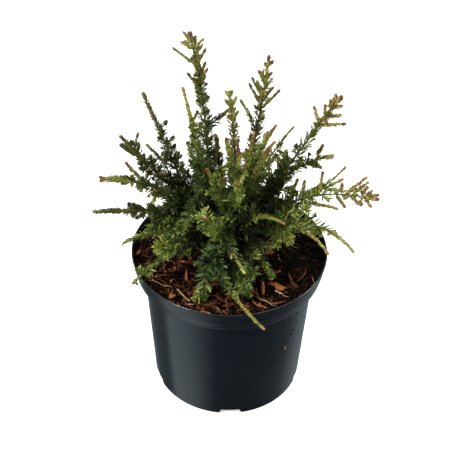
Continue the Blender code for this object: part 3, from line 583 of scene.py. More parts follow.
def keep_clear(base, ahead, length, width):
    """Turns aside leaves that would run into the compost."""
    tips = base + ahead * length[:, None]
    radius = np.linalg.norm(tips[:, :2], axis=1)
    low = np.where(radius < RIM_RADIUS - 1.0, SOIL_LEVEL + 1.2, -50.0)
    lift = np.clip(low - tips[:, 2], 0.0, None)
    ahead = unit(ahead + np.array([0.0, 0.0, 1.0]) * (lift / np.maximum(length, 0.1))[:, None] * 1.1)
    return ahead


def dress(line, start, end, spacing, reach, width, angle, colour, part, rng, radius, first_turn=0.0, upward=0.35, curl=(-0.03, 0.07), shape="blade", flat=0.0, sweep=(0.02, 0.16)):
    """Sets leaves in a spiral along a limb. reach, width and angle are given for its start and its end."""
    count = int((end - start) / spacing)
    if count < 2:
        return
    distance = start + (np.arange(count) + rng.uniform(-0.3, 0.3, count)) * spacing
    distance = np.clip(distance, 0, line.length)
    share = (distance - start) / max(end - start, 1e-6)
    point, ahead, side, up = line.at(distance)
    turn = first_turn + GOLDEN * np.arange(count) + rng.normal(0, 0.22, count)
    out = side * np.cos(turn)[:, None] + up * np.sin(turn)[:, None]
    # in a flat spray the leaves part to the left and right of the twig, with their faces to the sky
    level = unit(np.cross(ahead, (0.0, 0.0, 1.0)))
    sky = np.cross(level, ahead)
    lean = flat * (1 - np.abs(ahead[:, 2:3]) ** 4)
    out = unit(out - sky * np.sum(out * sky, axis=1, keepdims=True) * lean)
    tilt = np.radians(between(angle, share) + rng.normal(0, 8.0, count))
    direction = ahead * np.cos(tilt)[:, None] + out * np.sin(tilt)[:, None]
    face = (ahead * np.sin(tilt)[:, None] - out * np.cos(tilt)[:, None]) * (1 - 0.8 * lean) + sky * lean
    face = face + np.array([0.0, 0.0, 1.0]) * upward
    length = between(reach, share) * rng.uniform(0.82, 1.14, count)
    wide = between(width, share) * rng.uniform(0.88, 1.12, count)
    base = point + out * (np.interp(share, (0, 1), radius) * 0.85)[:, None]
    direction = keep_clear(base, direction, length, wide)
    face = unit(face - direction * np.sum(face * direction, axis=1, keepdims=True))
    roll = rng.normal(0, 0.46, count)
    face = face * np.cos(roll)[:, None] + np.cross(direction, face) * np.sin(roll)[:, None]
    bend = rng.uniform(*curl, count)
    # each leaf curves a little towards the tip of its twig
    curve = (ahead * np.sin(tilt)[:, None] - out * np.cos(tilt)[:, None]) * rng.uniform(*sweep, count)[:, None]
    codes = colour(share) if callable(colour) else colour[rng.integers(0, len(colour), count)]
    # painted shade: the leaves in the heart of the crown, where the crown shades itself, take the darkest colour
    heart = np.clip(1.15 - np.linalg.norm((base - np.array([-2.0, 5.0, 185.0])) / np.array([48.0, 60.0, 48.0]), axis=1), 0, 1)
    codes = np.where(rng.uniform(0, 1, count) < heart * 1.1, SHADE, codes)
    plant.leaves_of(part).add(base, direction, face, length, wide, bend, curve, codes, shape)


def bud(point, ahead, radius, length, code):
    """A small pointed bud of eight facets, wider below its middle."""
    line = Limb([point - ahead * length * 0.35, point, point + ahead * length * 0.65])
    distances = np.array([0.0, 0.25, 0.55, 0.8, 0.97]) * length
    tube(buds, line, distances, np.array([0.55, 0.95, 1.0, 0.72, 0.3]) * radius, 7, code)


def new_growth(line, start, green, tip, part, rng, girth=1.0, slim=0.0):
    """The slender end of a shoot: short leaves that lie close along it, and a coloured bud at the tip."""
    end = line.length
    if end - start < 1.5:
        return
    cap = (end - start) * TIP_SHARES[tip] if tip in TIP_SHARES else min(3.4, (end - start) * 0.45)
    base_codes, tip_codes = NEW_CODES[green], TIP_CODES[tip]
    steep = 6 * (girth - 1)
    main = base_codes[rng.integers(0, len(base_codes))]

    def body(s):
        picks = np.where(rng.uniform(0, 1, len(s)) < 0.35, main, base_codes[rng.integers(0, len(base_codes), len(s))])
        if tip in BLUSH_CODES:
            blush = BLUSH_CODES[tip]
            fade = min(0.75, 9.0 / (end - start))
            picks = np.where(rng.uniform(0, 1, len(s)) < np.clip((s - 1 + fade) / fade, 0, 1) * 0.8, blush[rng.integers(0, len(blush), len(s))], picks)
        return picks

    dress(
        line, start, end - cap * 0.6, 0.30 / girth, ((0, 4.4 * girth), (0.5, 3.9 * girth), (1, 3.5 * girth)),
        ((0, 1.75), (1, 1.75)), ((0, 27 - slim + steep), (0.5, 22 - slim + steep), (1, 19 - slim)), body, part, rng, (0.7, 0.6), upward=0.1, curl=(-0.1, 0.04), shape="scale", sweep=(0.0, 0.08))
    dress(
        line, end - cap, end - 0.2, 0.22 if cap < 5 else 0.30, ((0, 3.2 * girth), (0.8, 2.9 * girth), (1, 2.4)), ((0, 1.7), (1, 1.5)), ((0, 21), (0.7, 15), (1, 9)), tip_codes, part, rng, (0.65, 0.45),
        upward=0.0, curl=(-0.2, -0.05), shape="scale", sweep=(0.0, 0.05))
    point, ahead, _, _ = line.at(end)
    bud(point[0], ahead[0], (1.15 + 0.35 * girth) * (0.80 if part == "front" else 1.0) * (0.85 if tip in ("pale", "olive") else 1.08), 4.2 if part == "front" else 3.4, int(tip_codes[0]))


def twig_wood(line, start, foot, tip, kind, step=2.6, sides=5):
    distances = np.linspace(start, line.length - 0.4, max(3, int((line.length - start) / step)))
    tube(twigs, line, distances, np.linspace(foot, tip, len(distances)), sides, TWIG_NAMES.index(kind))


def tuft(start, direction, toward, length, green, part, rng, share=0.9, reach=6.4):
    """A short side twig whose leaves spread at its end like a rosette."""
    reach = reach * rng.uniform(0.85, 1.08)
    line = bent_twig(start, direction, toward, 0.25, length, 5)
    twig_wood(line, 0.0, 0.7, 0.5, "green_bark", 2.0, 5)
    mix = lambda s: green_at(green, np.clip(share + 0.15 * (s - 0.5), 0, 1), rng)
    dress(line, length * 0.08, length, 0.50, ((0, reach), (0.6, reach * 0.95), (1, reach * 0.6)), ((0, 1.55), (1, 1.5)), ((0, 60), (0.6, 50), (1, 26)), mix, part, rng, (0.6, 0.4), flat=0.3)
    point, ahead, _, _ = line.at(length)
    dress(
        Limb([point[0] - ahead[0] * 0.8, point[0] + ahead[0] * 0.8]), 0.0, 1.6, 0.2, ((0, 3.6), (1, 2.3)), ((0, 1.7), (1, 1.4)), ((0, 42), (1, 12)), mix, part, rng, (0.3, 0.2), shape="scale")


def rosette(start, direction, toward, length, green, part, rng):
    """A twig that faces outwards, with its leaves spread all round it in a star."""
    line = bent_twig(start, direction, toward, 0.15, length, 5)
    twig_wood(line, 0.0, 0.8, 0.6, "green_bark", 2.0, 5)
    reach = min(length, 10.0)
    dress(line, length * 0.1, length * 0.85, 0.46, ((0, reach), (1, reach * 0.85)), ((0, 2.0), (1, 1.9)), ((0, 74), (1, 58)), lambda s: green_at(green, 0.40 + 0.2 * s, rng), part, rng, (0.6, 0.5))
    dress(line, length * 0.85 - 1.0, length, 0.20, ((0, reach * 0.65), (1, 3.0)), ((0, 1.8), (1, 1.5)), ((0, 55), (1, 14)), lambda s: green_at(green, 0.7 + 0.25 * s, rng), part, rng, (0.5, 0.3))


def ball(start, direction, toward, length, green, part, rng):
    """A short side twig that ends in a round knot of small leaves."""
    line = bent_twig(start, direction, toward, 0.25, length, 5)
    twig_wood(line, 0.0, 0.8, 0.7, "green_bark", 2.0, 5)
    mix = lambda s: green_at(green, 0.40 + 0.25 * s, rng)
    dress(line, length * 0.1, length * 0.7, 0.6, ((0, 3.8), (1, 3.2)), ((0, 1.4), (1, 1.4)), ((0, 55), (1, 44)), mix, part, rng, (0.6, 0.6))
    dress(line, length - 3.4, length + 0.2, 0.08, ((0, 3.0), (0.6, 2.9), (1, 2.0)), ((0, 1.6), (1, 1.5)), ((0, 100), (0.6, 62), (1, 10)), mix, part, rng, (0.8, 0.5), shape="scale", sweep=(0.15, 0.35))


def leafy_twig(start, direction, toward, length, green, tip, part, rng, share, reach=7.0, finger=0.0, spacing=0.72, flat=0.55):
    """A side twig with spreading leaves, and new growth at its end where it has any."""
    line = bent_twig(start, direction, toward, 0.45, length, 9)
    twig_wood(line, 0.0, 0.85, 0.45, "bark" if share < 0.4 else "green_bark", 2.6, 5)
    leafy = max(length - finger, 2.0)
    mix = lambda s: green_at(green, np.clip(share + 0.25 * (s - 0.3), 0, 1), rng)
    dress(line, length * 0.04, leafy, spacing, ((0, reach), (0.6, reach * 0.98), (1, reach * (0.74 if finger else 0.64))), ((0, 1.5), (1, 1.5)), ((0, 58), (0.6, 50), (1, 30)), mix, part, rng, (0.75, 0.5), flat=flat)
    if finger > 2.0:
        new_growth(line, leafy, green, tip, part, rng)
    else:
        point, ahead, _, _ = line.at(length)
        dress(
            Limb([point[0] - ahead[0] * 1.0, point[0] + ahead[0] * 0.8]), 0.0, 1.8, 0.22, ((0, 3.8), (1, 2.4)), ((0, 1.8), (1, 1.4)), ((0, 40), (1, 12)), mix, part, rng, (0.3, 0.2), shape="scale")
    return line


def inside_crown(point):
    """How deep a point lies in the crown: 1 at its heart and 0 at its edge."""
    centre = np.array([0.0, 0.0, 195.0])
    return float(np.clip(1.25 - np.linalg.norm((point - centre) / np.array([85.0, 85.0, 75.0])), 0, 1))


def open_ground(point, margin=3.0):
    """True where a twig may end: clear of the pot's lip and the compost."""
    radius = math.hypot(point[0], point[1])
    if radius < RIM_RADIUS - 3.0:
        return point[2] > SOIL_LEVEL + margin
    return point[2] > POT_HEIGHT + margin or radius > RIM_RADIUS + margin


def grow_shoot(name, row, line, number):
    _, _, _, _, _, _, _, reach, green, finger, tip, part = row
    rng = np.random.default_rng(1000 + number)
    length = line.length
    leafy = length - finger
    foot = 1.35 if length > 60 else 1.0
    foot = min(foot, 0.85) if name in BUSHY and BUSHY[name] == 0.0 else foot
    brown = length * 0.42
    wood = np.linspace(0.0, length - 0.5, max(6, int(length / 2.4)))
    radii = np.interp(wood / length, (0, 0.5, 1.0), (foot, foot * 0.72, 0.5))
    split = int(np.searchsorted(wood, brown))
    tube(twigs, line, wood[: split + 1], radii[: split + 1], 6, TWIG_NAMES.index("bark" if green == "dark" and length > 60 else "green_bark"), closed_tip=False)
    tube(twigs, line, wood[split:], radii[split:], 6, TWIG_NAMES.index("new_bark" if green in ("yellow", "light") else "green_bark"))
    mix = lambda s: green_at(green, s, rng)
    sine = 1.05
    if finger:
        reaches = ((0, reach * 1.25), (0.3, reach * 1.22), (0.5, reach * 1.08), (0.72, reach * 0.86), (0.88, 5.2), (1, 4.4))
        angles = ((0, 60), (0.5, 52), (0.85, 38), (1, 26))
    else:
        reaches = ((0, reach * sine), (0.7, reach * 1.05), (1, reach * 0.75))
        angles = ((0, 64), (0.6, 58), (1, 40))
    low = name in ("front_left_low", "front_low_centre", "rim_front", "front_low", "front_right_low", "rim_left", "front_hang")
    spacing, wide = LEAFING.get(name, (0.46, 1.6))
    flat, comb = COMBS.get(name, (0.32 if low else 0.25, 0))
    if comb:
        angles = ((0, comb), (0.5, comb - 4), (0.85, comb - 18), (1, 30))
    dress(line, length * 0.01, leafy * 0.34, spacing * 0.8, reaches[:1] + ((1, reach * (1.22 if finger else sine)),), ((0, wide + 0.1), (1, wide + 0.05)), ((0, comb + 2), (1, comb)) if comb else ((0, 66), (1, 62)) if low else ((0, 60), (1, 55)), lambda s: green_at(green, s * 0.34, rng), part, rng, (foot, foot * 0.85), flat=max(flat, 0.32))
    reaches = tuple((max(0.0, (s - 0.34) / 0.66), r) for s, r in reaches)
    angles = tuple((max(0.0, (s - 0.34) / 0.66), r) for s, r in angles)
    dress(line, leafy * 0.34, leafy, spacing, reaches, ((0, wide + 0.05), (1, wide)), angles, lambda s: green_at(green, 0.34 + 0.66 * s, rng), part, rng, (foot * 0.85, 0.6), flat=flat)
    if finger:
        new_growth(line, leafy - 1.0, green, tip, part, rng, girth=GIRTHS.get(name, 1.0))
    else:
        point, ahead, side, up = line.at(length - 1.0)
        for k in range(4):
            turn = 2 * math.pi * (k + rng.uniform(-0.2, 0.2)) / 4
            out = side[0] * math.cos(turn) + up[0] * math.sin(turn)
            tuft(point[0], unit(ahead[0] + out * 0.9), ahead[0], rng.uniform(3.0, 5.0) * (0.7 if reach < 7 else 1.0), green, part, rng, 0.95, reach=min(6.4, reach * 0.85))

    # the new growth and tufts that have a place
    for share, clock, size, kind in SIDES.get(name, ()):
        point, ahead, _, _ = line.at(share * length)
        point, ahead = point[0], ahead[0]
        a = math.radians(clock)
        out = VIEW_RIGHT * math.cos(a) + VIEW_UP * math.sin(a) - VIEW_AHEAD * rng.uniform(-0.3, 0.45)
        out = unit(out)
        if kind in ("tuft", "light"):
            tuft(point, out, ahead, size, "light" if kind == "light" else green, part, rng, 0.55 if green in ("dark", "sage") else 0.95, reach=7.4 if length < 60 else 6.2)
            continue
        if kind == "rosette":
            rosette(point, unit(out * 0.6 - VIEW_AHEAD), out, size, green, part, rng)
            continue
        if kind == "ball":
            ball(point, out, ahead, size, green, part, rng)
            continue
        twig = bent_twig(point, unit(out + unit(out - ahead * np.dot(out, ahead)) * 0.12), out, 0.6, size, 8)
        twig_wood(twig, 0.0, 0.6, 0.4, "green_bark", 2.2, 5)
        bare = min(size * 0.3, 4.0)
        if size > 12:
            dress(twig, 0.5, size * 0.4, 0.50, ((0, 4.4), (1, 4.2)), ((0, 1.5), (1, 1.6)), ((0, 30), (1, 25)), lambda s: green_at(green, 0.8 + 0.1 * s, rng), part, rng, (0.6, 0.5))
            bare = size * 0.4
        warm = name == "upper_right" or (name == "right" and share > 0.6)
        growth = "deep" if kind == "deep" else "dusk" if green == "dark" else "sage" if green == "sage" or name == "tall_right" else "warm" if warm else green
        girth = 1.5 if kind == "deep" else SIDE_GIRTHS.get(name, 0.92) * (0.94 if size > 18 else 1.0)
        new_growth(twig, bare * 0.5, growth, kind, part, rng, girth=girth, slim=0.0 if kind == "deep" else 2.0)

    # side twigs by rule: longer and closer together down inside the crown
    if name.startswith("thin"):
        return
    bushy = BUSHY.get(name, 1.0)
    if bushy == 0.0:
        return
    distance, turn, count = 4.0, rng.uniform(0, 6.28), 0
    while distance < leafy * 0.9:
        share = distance / length
        point, ahead, side, up = line.at(distance)
        point, ahead = point[0], ahead[0]
        deep = inside_crown(point)
        turn += GOLDEN + rng.normal(0, 0.25)
        out = side[0] * math.cos(turn) + up[0] * math.sin(turn)
        away = unit(ahead * 0.75 + out)
        size = (4.6 + 19.0 * deep * (0.45 + 0.55 * bushy)) * rng.uniform(0.8, 1.2)
        if not open_ground(point + away * (size + 3.0)):
            away = unit(away + np.array([0, 0, 0.9]))
            size *= 0.8
        if open_ground(point + away * (size + 2.0)):
            if size > 10:
                twig = leafy_twig(point, away, unit(ahead + np.array([0, 0, 0.25])), size, green, tip, part, rng, share, reach=reach * rng.uniform(0.82, 0.98), finger=6.0 if (rng.random() < 0.16 and deep < 0.55 and green in ("dark", "sage", "fresh") and name not in COMBS) else 0.0)
                if size > 16:
                    for back in (0.35, 0.62):
                        p, d, s, u = twig.at(back * twig.length)
                        t = rng.uniform(0, 6.28)
                        o = s[0] * math.cos(t) + u[0] * math.sin(t)
                        w = unit(d[0] * 0.7 + o)
                        if open_ground(p[0] + w * 10):
                            tuft(p[0], w, d[0], rng.uniform(5, 9), green, part, rng, share + 0.2)
            elif rng.random() < 0.9:
                tuft(point, away, ahead, size, green, part, rng, min(share + 0.1, 1.0))
        distance += np.interp(deep, (0, 0.2, 1), (5.0, 6.5, 6.0)) / (0.3 + 0.7 * bushy) * rng.uniform(0.8, 1.25)
        count += 1


stem_points = np.vstack([[(0.0, 0.0, STEM_FOOT)], limb(np.array([0.0, 0.0, STEM_FOOT + 1.6]), *STEM_LEAN, STEM_GIRTH[-1][0] - 1.6, -8, 0)])
lines = {"stem": Limb(stem_points)}
for name, (height, azimuth, rise, length, lift, swing, _, _) in BOUGHS.items():
    lines["bough " + name] = Limb(limb(at_height(stem_points, height), azimuth, rise, length, lift, swing))


def start_of(parent, share, shoots):
    line = lines[parent] if parent in lines else lines.get("bough " + parent) if not shoots else lines["shoot " + parent]
    return line.at(share * line.length)[0][0]


for number, (name, row) in enumerate(SHOOTS.items()):
    parent, share, azimuth, rise, length, lift, swing = row[:7]
    line = Limb(limb(start_of(parent, share, False), azimuth, rise, length, lift, swing, 30))
    lines["shoot " + name] = line
    grow_shoot(name, row, line, number)
for number, (name, row) in enumerate(THIN_SHOOTS.items()):
    parent, share, azimuth, rise, length, lift, swing = row[:7]
    line = Limb(limb(start_of(parent, share, True), azimuth, rise, length, lift, swing, 16))
    grow_shoot(name, row, line, 100 + number)

# a dry end that hangs from the lowest shoot on the left
tip = lines["shoot left_low"].points[-1]
dry = Limb(np.array([tip, tip + (-1.2, -0.4, -1.0), tip + (-1.9, -0.8, -4.0), tip + (-2.0, -1.0, -9.0), tip + (-1.8, -1.0, -15.0)]))
tube(twigs, dry, np.linspace(0, dry.length, 12), np.linspace(0.75, 0.3, 12), 5, TWIG_NAMES.index("red_bark"))

# the boughs themselves carry leaves and twigs along their outer part
PART_OF_BOUGH = {"tall_left": "left", "tall_right": "back", "mid_left": "left", "upper_left": "left", "left": "left", "low_left": "left", "front_centre": "front", "right_centre": "right", "upper_right": "right", "right": "right", "low_right": "right", "front_right": "front", "front": "front", "front_left": "front", "front_up": "front", "back_left": "back", "back_right": "back"}
for number, (name, row) in enumerate(BOUGHS.items()):
    rng = np.random.default_rng(3000 + number)
    line, part = lines["bough " + name], PART_OF_BOUGH[name]
    green = "blue" if name == "front_left" else "mid" if part == "front" else "sage" if part == "right" else "dark"
    dress(line, line.length * 0.25, line.length, 0.55, ((0, 7.5), (1, 8.5)), ((0, 1.6), (1, 1.6)), ((0, 65), (1, 58)), lambda s: green_at(green, 0.25 * s, rng), part, rng, (row[6], row[7]))
    distance, turn = line.length * 0.25, rng.uniform(0, 6.28)
    while distance < line.length - 2:
        point, ahead, side, up = line.at(distance)
        turn += GOLDEN + rng.normal(0, 0.3)
        out = side[0] * math.cos(turn) + up[0] * math.sin(turn)
        away = unit(ahead[0] * 0.7 + out)
        size = rng.uniform(10, 22)
        if not open_ground(point[0] + away * (size + 4)):
            away = unit(away + np.array([0, 0, 1.0]))
        if open_ground(point[0] + away * (size + 3)):
            leafy_twig(point[0], away, unit(ahead[0] + np.array([0, 0, 0.3])), size, green, "olive", part, rng, 0.3, reach=7.0)
        distance += rng.uniform(5.0, 8.0)

pieces = {}
for part, leaves in plant.leaves.items():
    pile = leaves.pile(leaf_materials)
    pieces["leaves_" + part] = pile.build("leaves_" + part)
    print("leaves", part, leaves.count(), pile.triangles())
pieces["twigs"] = twigs.build("twigs")
pieces["buds"] = buds.build("buds")
print("twigs", twigs.triangles(), "buds", buds.triangles())
for part in ("left", "right", "front", "back"):
    piece = pieces["leaves_" + part]
    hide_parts(*["foliage_" + n for n, row in SHOOTS.items() if row[-1] == part])


# ---------------------------------------------------------------- node helpers
def new_node(tree, kind, place, **values):
    made = tree.nodes.new(kind)
    made.location = place
    for key, value in values.items():
        if key in made.inputs:
            made.inputs[key].default_value = value
        else:
            setattr(made, key, value)
    return made


def ramp(tree, place, stops):
    made = tree.nodes.new("ShaderNodeValToRGB")
    made.location = place
    while len(made.color_ramp.elements) < len(stops):
        made.color_ramp.elements.new(0.5)
    for element, (at, colour) in zip(made.color_ramp.elements, stops):
        element.position = at
        element.color = (*colour, 1.0) if len(colour) == 3 else colour
    return made


# ---------------------------------------------------------------- stem and boughs, with the bark's relief
def bark_material():
    made = material("bark", (0.12, 0.08, 0.045), 0.9, 0.12)
    tree = made.node_tree
    shader = tree.nodes["Principled BSDF"]
    place = new_node(tree, "ShaderNodeTexCoord", (-1200, 0))
    stretch = new_node(tree, "ShaderNodeMapping", (-1000, 0))
    stretch.inputs["Scale"].default_value = (1.0, 1.0, 0.28)
    tree.links.new(place.outputs["Object"], stretch.inputs["Vector"])
    grain = new_node(tree, "ShaderNodeTexNoise", (-800, 100), Scale=900.0, Detail=8.0, Roughness=0.62)
    tree.links.new(stretch.outputs["Vector"], grain.inputs["Vector"])
    colours = ramp(tree, (-560, 120), [(0.3, (0.016, 0.010, 0.007)), (0.5, (0.050, 0.032, 0.020)), (0.68, (0.110, 0.074, 0.046)), (0.8, (0.17, 0.12, 0.08))])
    tree.links.new(grain.outputs["Fac"], colours.inputs["Fac"])
    tree.links.new(colours.outputs["Color"], shader.inputs["Base Color"])
    bump = new_node(tree, "ShaderNodeBump", (-300, -200), Strength=0.6, Distance=0.0004)
    tree.links.new(grain.outputs["Fac"], bump.inputs["Height"])
    tree.links.new(bump.outputs["Normal"], shader.inputs["Normal"])
    return made


bark = bark_material()


def bark_limb(pile, line, start, end, radius, sides, step, seed, flare=False):
    """Rings whose corners stand out in long ridges that wander round the limb."""
    rng = np.random.default_rng(seed)
    count = max(6, int((end - start) / step))
    distances = np.linspace(start, end, count)
    centre, _, side, up = line.at(distances)
    turn = 2 * math.pi * np.arange(sides) / sides
    phases = rng.uniform(0, 6.28, 4)
    drift = np.cumsum(rng.normal(0, 0.09, count))
    relief = np.zeros((count, sides))
    for weight, waves, phase in zip((0.07, 0.05, 0.035), (3, 5, 8), phases):
        relief += weight * np.sin(waves * turn[None, :] + phase + waves * 0.5 * drift[:, None])
    relief += rng.normal(0, 0.018, relief.shape)
    rings = 0.03 * rng.normal(0, 1, count)
    radii = radius(distances)[:, None] * (1 + relief + rings[:, None])
    if flare:
        low = np.clip(1 - (distances - start) / 7.0, 0, 1)[:, None]
        radii = radii * (1 + 0.22 * low * np.cos(3 * turn[None, :] + 0.6) + 0.12 * low * np.cos(7 * turn[None, :] + 1.1))
    ring = np.cos(turn)[None, :, None] * side[:, None, :] + np.sin(turn)[None, :, None] * up[:, None, :]
    verts = (centre[:, None, :] + ring * radii[:, :, None]).reshape(-1, 3)
    k, i = np.arange(count - 1)[:, None] * sides, np.arange(sides)[None, :]
    j = (i + 1) % sides
    tris = [np.stack([k + i, k + sides + j, k + j], axis=2).reshape(-1, 3), np.stack([k + i, k + sides + i, k + sides + j], axis=2).reshape(-1, 3)]
    for ring_start, centre_point, flip in ((0, centre[0], False), ((count - 1) * sides, centre[-1], True)):
        verts = np.vstack([verts, centre_point])
        a, b = ring_start + i[0], ring_start + j[0]
        tris.append(np.stack([np.full(sides, len(verts) - 1), b, a] if flip else [np.full(sides, len(verts) - 1), a, b], axis=1))
    pile.add(verts, np.vstack(tris), 0)


stem_pile = Pile([bark])
bark_limb(stem_pile, lines["stem"], 0.0, lines["stem"].length, lambda d: between(STEM_GIRTH, d), 28, 0.8, 77, flare=True)
stem_piece = stem_pile.build("stem_with_bark")
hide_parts("stem")
bough_pile = Pile([bark])
for number, (name, row) in enumerate(BOUGHS.items()):
    line = lines["bough " + name]
    bark_limb(bough_pile, line, 1.5, line.length, lambda d, a=row[6], b=row[7], n=line.length: np.interp(d, (0, 6.0, n), (a * 1.25, a, b * 0.92)), 14, 1.0, 500 + number)
bough_piece = bough_pile.build("boughs_with_bark")
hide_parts(*["bough_" + n for n in BOUGHS])
pieces["stem"], pieces["boughs"] = stem_piece, bough_piece


# ---------------------------------------------------------------- pot
def rounded(points, steps=5):
    """The profile with each corner drawn as a short curve. A point is (radius, height, size of the rounding)."""
    made = []
    for k, (r, z, size) in enumerate(points):
        here = np.array([r, z], float)
        if k == 0 or k == len(points) - 1 or size <= 0:
            made.append(here)
            continue
        before, after = np.array(points[k - 1][:2], float) - here, np.array(points[k + 1][:2], float) - here
        cut = min(size, np.linalg.norm(before) * 0.48, np.linalg.norm(after) * 0.48)
        a, b = here + unit(before) * cut, here + unit(after) * cut
        for s in np.linspace(0, 1, steps):
            made.append(a * (1 - s) ** 2 + here * 2 * s * (1 - s) + b * s**2)
    return made


def pot_profile():
    band_foot = POT_HEIGHT - BAND_HEIGHT
    inner_foot = BODY_FOOT_RADIUS - WALL
    ring_z = band_foot + 7.4
    ring_r = BAND_FOOT_RADIUS + (RIM_RADIUS - BAND_FOOT_RADIUS) * (7.4 / BAND_HEIGHT) * 0.9
    return [
        (0.0, 1.8, 0),
        (FLOOR_DISC_RADIUS - 2.0, 1.8, 0.8),
        (FLOOR_DISC_RADIUS - 0.5, CHANNEL_HEIGHT + 1.8, 0.8),
        (inner_foot, CHANNEL_HEIGHT + 1.8, 1.0),
        (BODY_TOP_RADIUS - WALL, band_foot - 1.3, 1.0),
        (BODY_TOP_RADIUS - 0.4, band_foot + 0.6, 0.6),
        (BAND_FOOT_RADIUS - WALL - 0.3, band_foot + 1.7, 1.0),
        (RIM_RADIUS - 2.0, POT_HEIGHT - 1.7, 0.4),
        (RIM_RADIUS - 1.4, POT_HEIGHT - 0.1, 0.5),
        (RIM_RADIUS - 0.5, POT_HEIGHT, 0.5),
        (RIM_RADIUS, POT_HEIGHT - 0.9, 0.5),
        (RIM_RADIUS - 0.35, POT_HEIGHT - 2.6, 0.6),
        (ring_r + 0.30, ring_z + 0.6, 0.8),
        (ring_r - 0.10, ring_z - 0.5, 0.6),
        (BAND_FOOT_RADIUS, band_foot + 1.6, 0.9),
        (BAND_FOOT_RADIUS - 0.9, band_foot, 0.7),
        (BODY_TOP_RADIUS + 0.9, band_foot - 0.5, 1.3),
        (BODY_TOP_RADIUS, band_foot - 3.4, 1.6),
        (BODY_FOOT_RADIUS, 0.9, 0.4),
        (BODY_FOOT_RADIUS - 0.9, 0.0, 0.4),
        (BODY_FOOT_RADIUS - 6.2, 0.0, 0.5),
        (BODY_FOOT_RADIUS - 6.8, CHANNEL_HEIGHT, 0.8),
        (FLOOR_DISC_RADIUS + 1.4, CHANNEL_HEIGHT, 0.8),
        (FLOOR_DISC_RADIUS, 0.0, 0.6),
        (0.0, 0.0, 0),
    ]


def lathe(name, profile, sides):
    """Turns a profile that starts and ends on the axis."""
    ring = np.array(profile[1:-1])
    turn = 2 * math.pi * np.arange(sides) / sides
    verts = np.stack([ring[:, None, 0] * np.cos(turn), ring[:, None, 0] * np.sin(turn), np.broadcast_to(ring[:, None, 1], (len(ring), sides))], axis=2).reshape(-1, 3)
    verts = np.vstack([verts, [(0.0, 0.0, profile[0][1]), (0.0, 0.0, profile[-1][1])]]) * MM
    faces = []
    for k in range(len(ring) - 1):
        for i in range(sides):
            j = (i + 1) % sides
            faces.append((k * sides + i, (k + 1) * sides + i, (k + 1) * sides + j, k * sides + j))
    last, top, foot = (len(ring) - 1) * sides, len(verts) - 2, len(verts) - 1
    for i in range(sides):
        j = (i + 1) % sides
        faces.append((top, i, j))
        faces.append((foot, last + j, last + i))
    mesh = bpy.data.meshes.new(name)
    mesh.from_pydata([tuple(v) for v in verts], [], faces)
    work = bmesh.new()
    work.from_mesh(mesh)
    bmesh.ops.recalc_face_normals(work, faces=work.faces)
    work.to_mesh(mesh)
    work.free()
    obj = bpy.data.objects.new(name, mesh)
    bpy.context.scene.collection.objects.link(obj)
    return obj


def pot_cutters():
    """The wedges of the notches in the foot ring and the round drain holes, as one mesh."""
    work = bmesh.new()
    for i in range(NOTCHES):
        azimuth = math.radians(NOTCH_AZIMUTH + 360.0 / NOTCHES * i)
        slope = (NOTCH_FOOT_WIDTH - NOTCH_TOP_WIDTH) / NOTCH_HEIGHT
        made = bmesh.ops.create_cube(work, size=1.0)["verts"]
        for v in made:
            high = v.co.z > 0
            half = (NOTCH_TOP_WIDTH if high else NOTCH_FOOT_WIDTH + slope * 2.0) / 2
            x, y, z = math.copysign(7.0, v.co.x) + BODY_FOOT_RADIUS - 2.0, math.copysign(half, v.co.y), NOTCH_HEIGHT if high else -2.0
            v.co = Vector((x * math.cos(azimuth) - y * math.sin(azimuth), x * math.sin(azimuth) + y * math.cos(azimuth), z)) * MM
        hole = bmesh.ops.create_cone(work, cap_ends=True, segments=24, radius1=DRAIN_HOLE_RADIUS * MM, radius2=DRAIN_HOLE_RADIUS * MM, depth=6.0 * MM)["verts"]
        for v in hole:
            v.co += Vector((math.cos(azimuth) * DRAIN_HOLE_RING * MM, math.sin(azimuth) * DRAIN_HOLE_RING * MM, (CHANNEL_HEIGHT + 0.9) * MM))
    bmesh.ops.recalc_face_normals(work, faces=work.faces)
    mesh = bpy.data.meshes.new("cutters")
    work.to_mesh(mesh)
    work.free()
    obj = bpy.data.objects.new("cutters", mesh)
    bpy.context.scene.collection.objects.link(obj)
    return obj


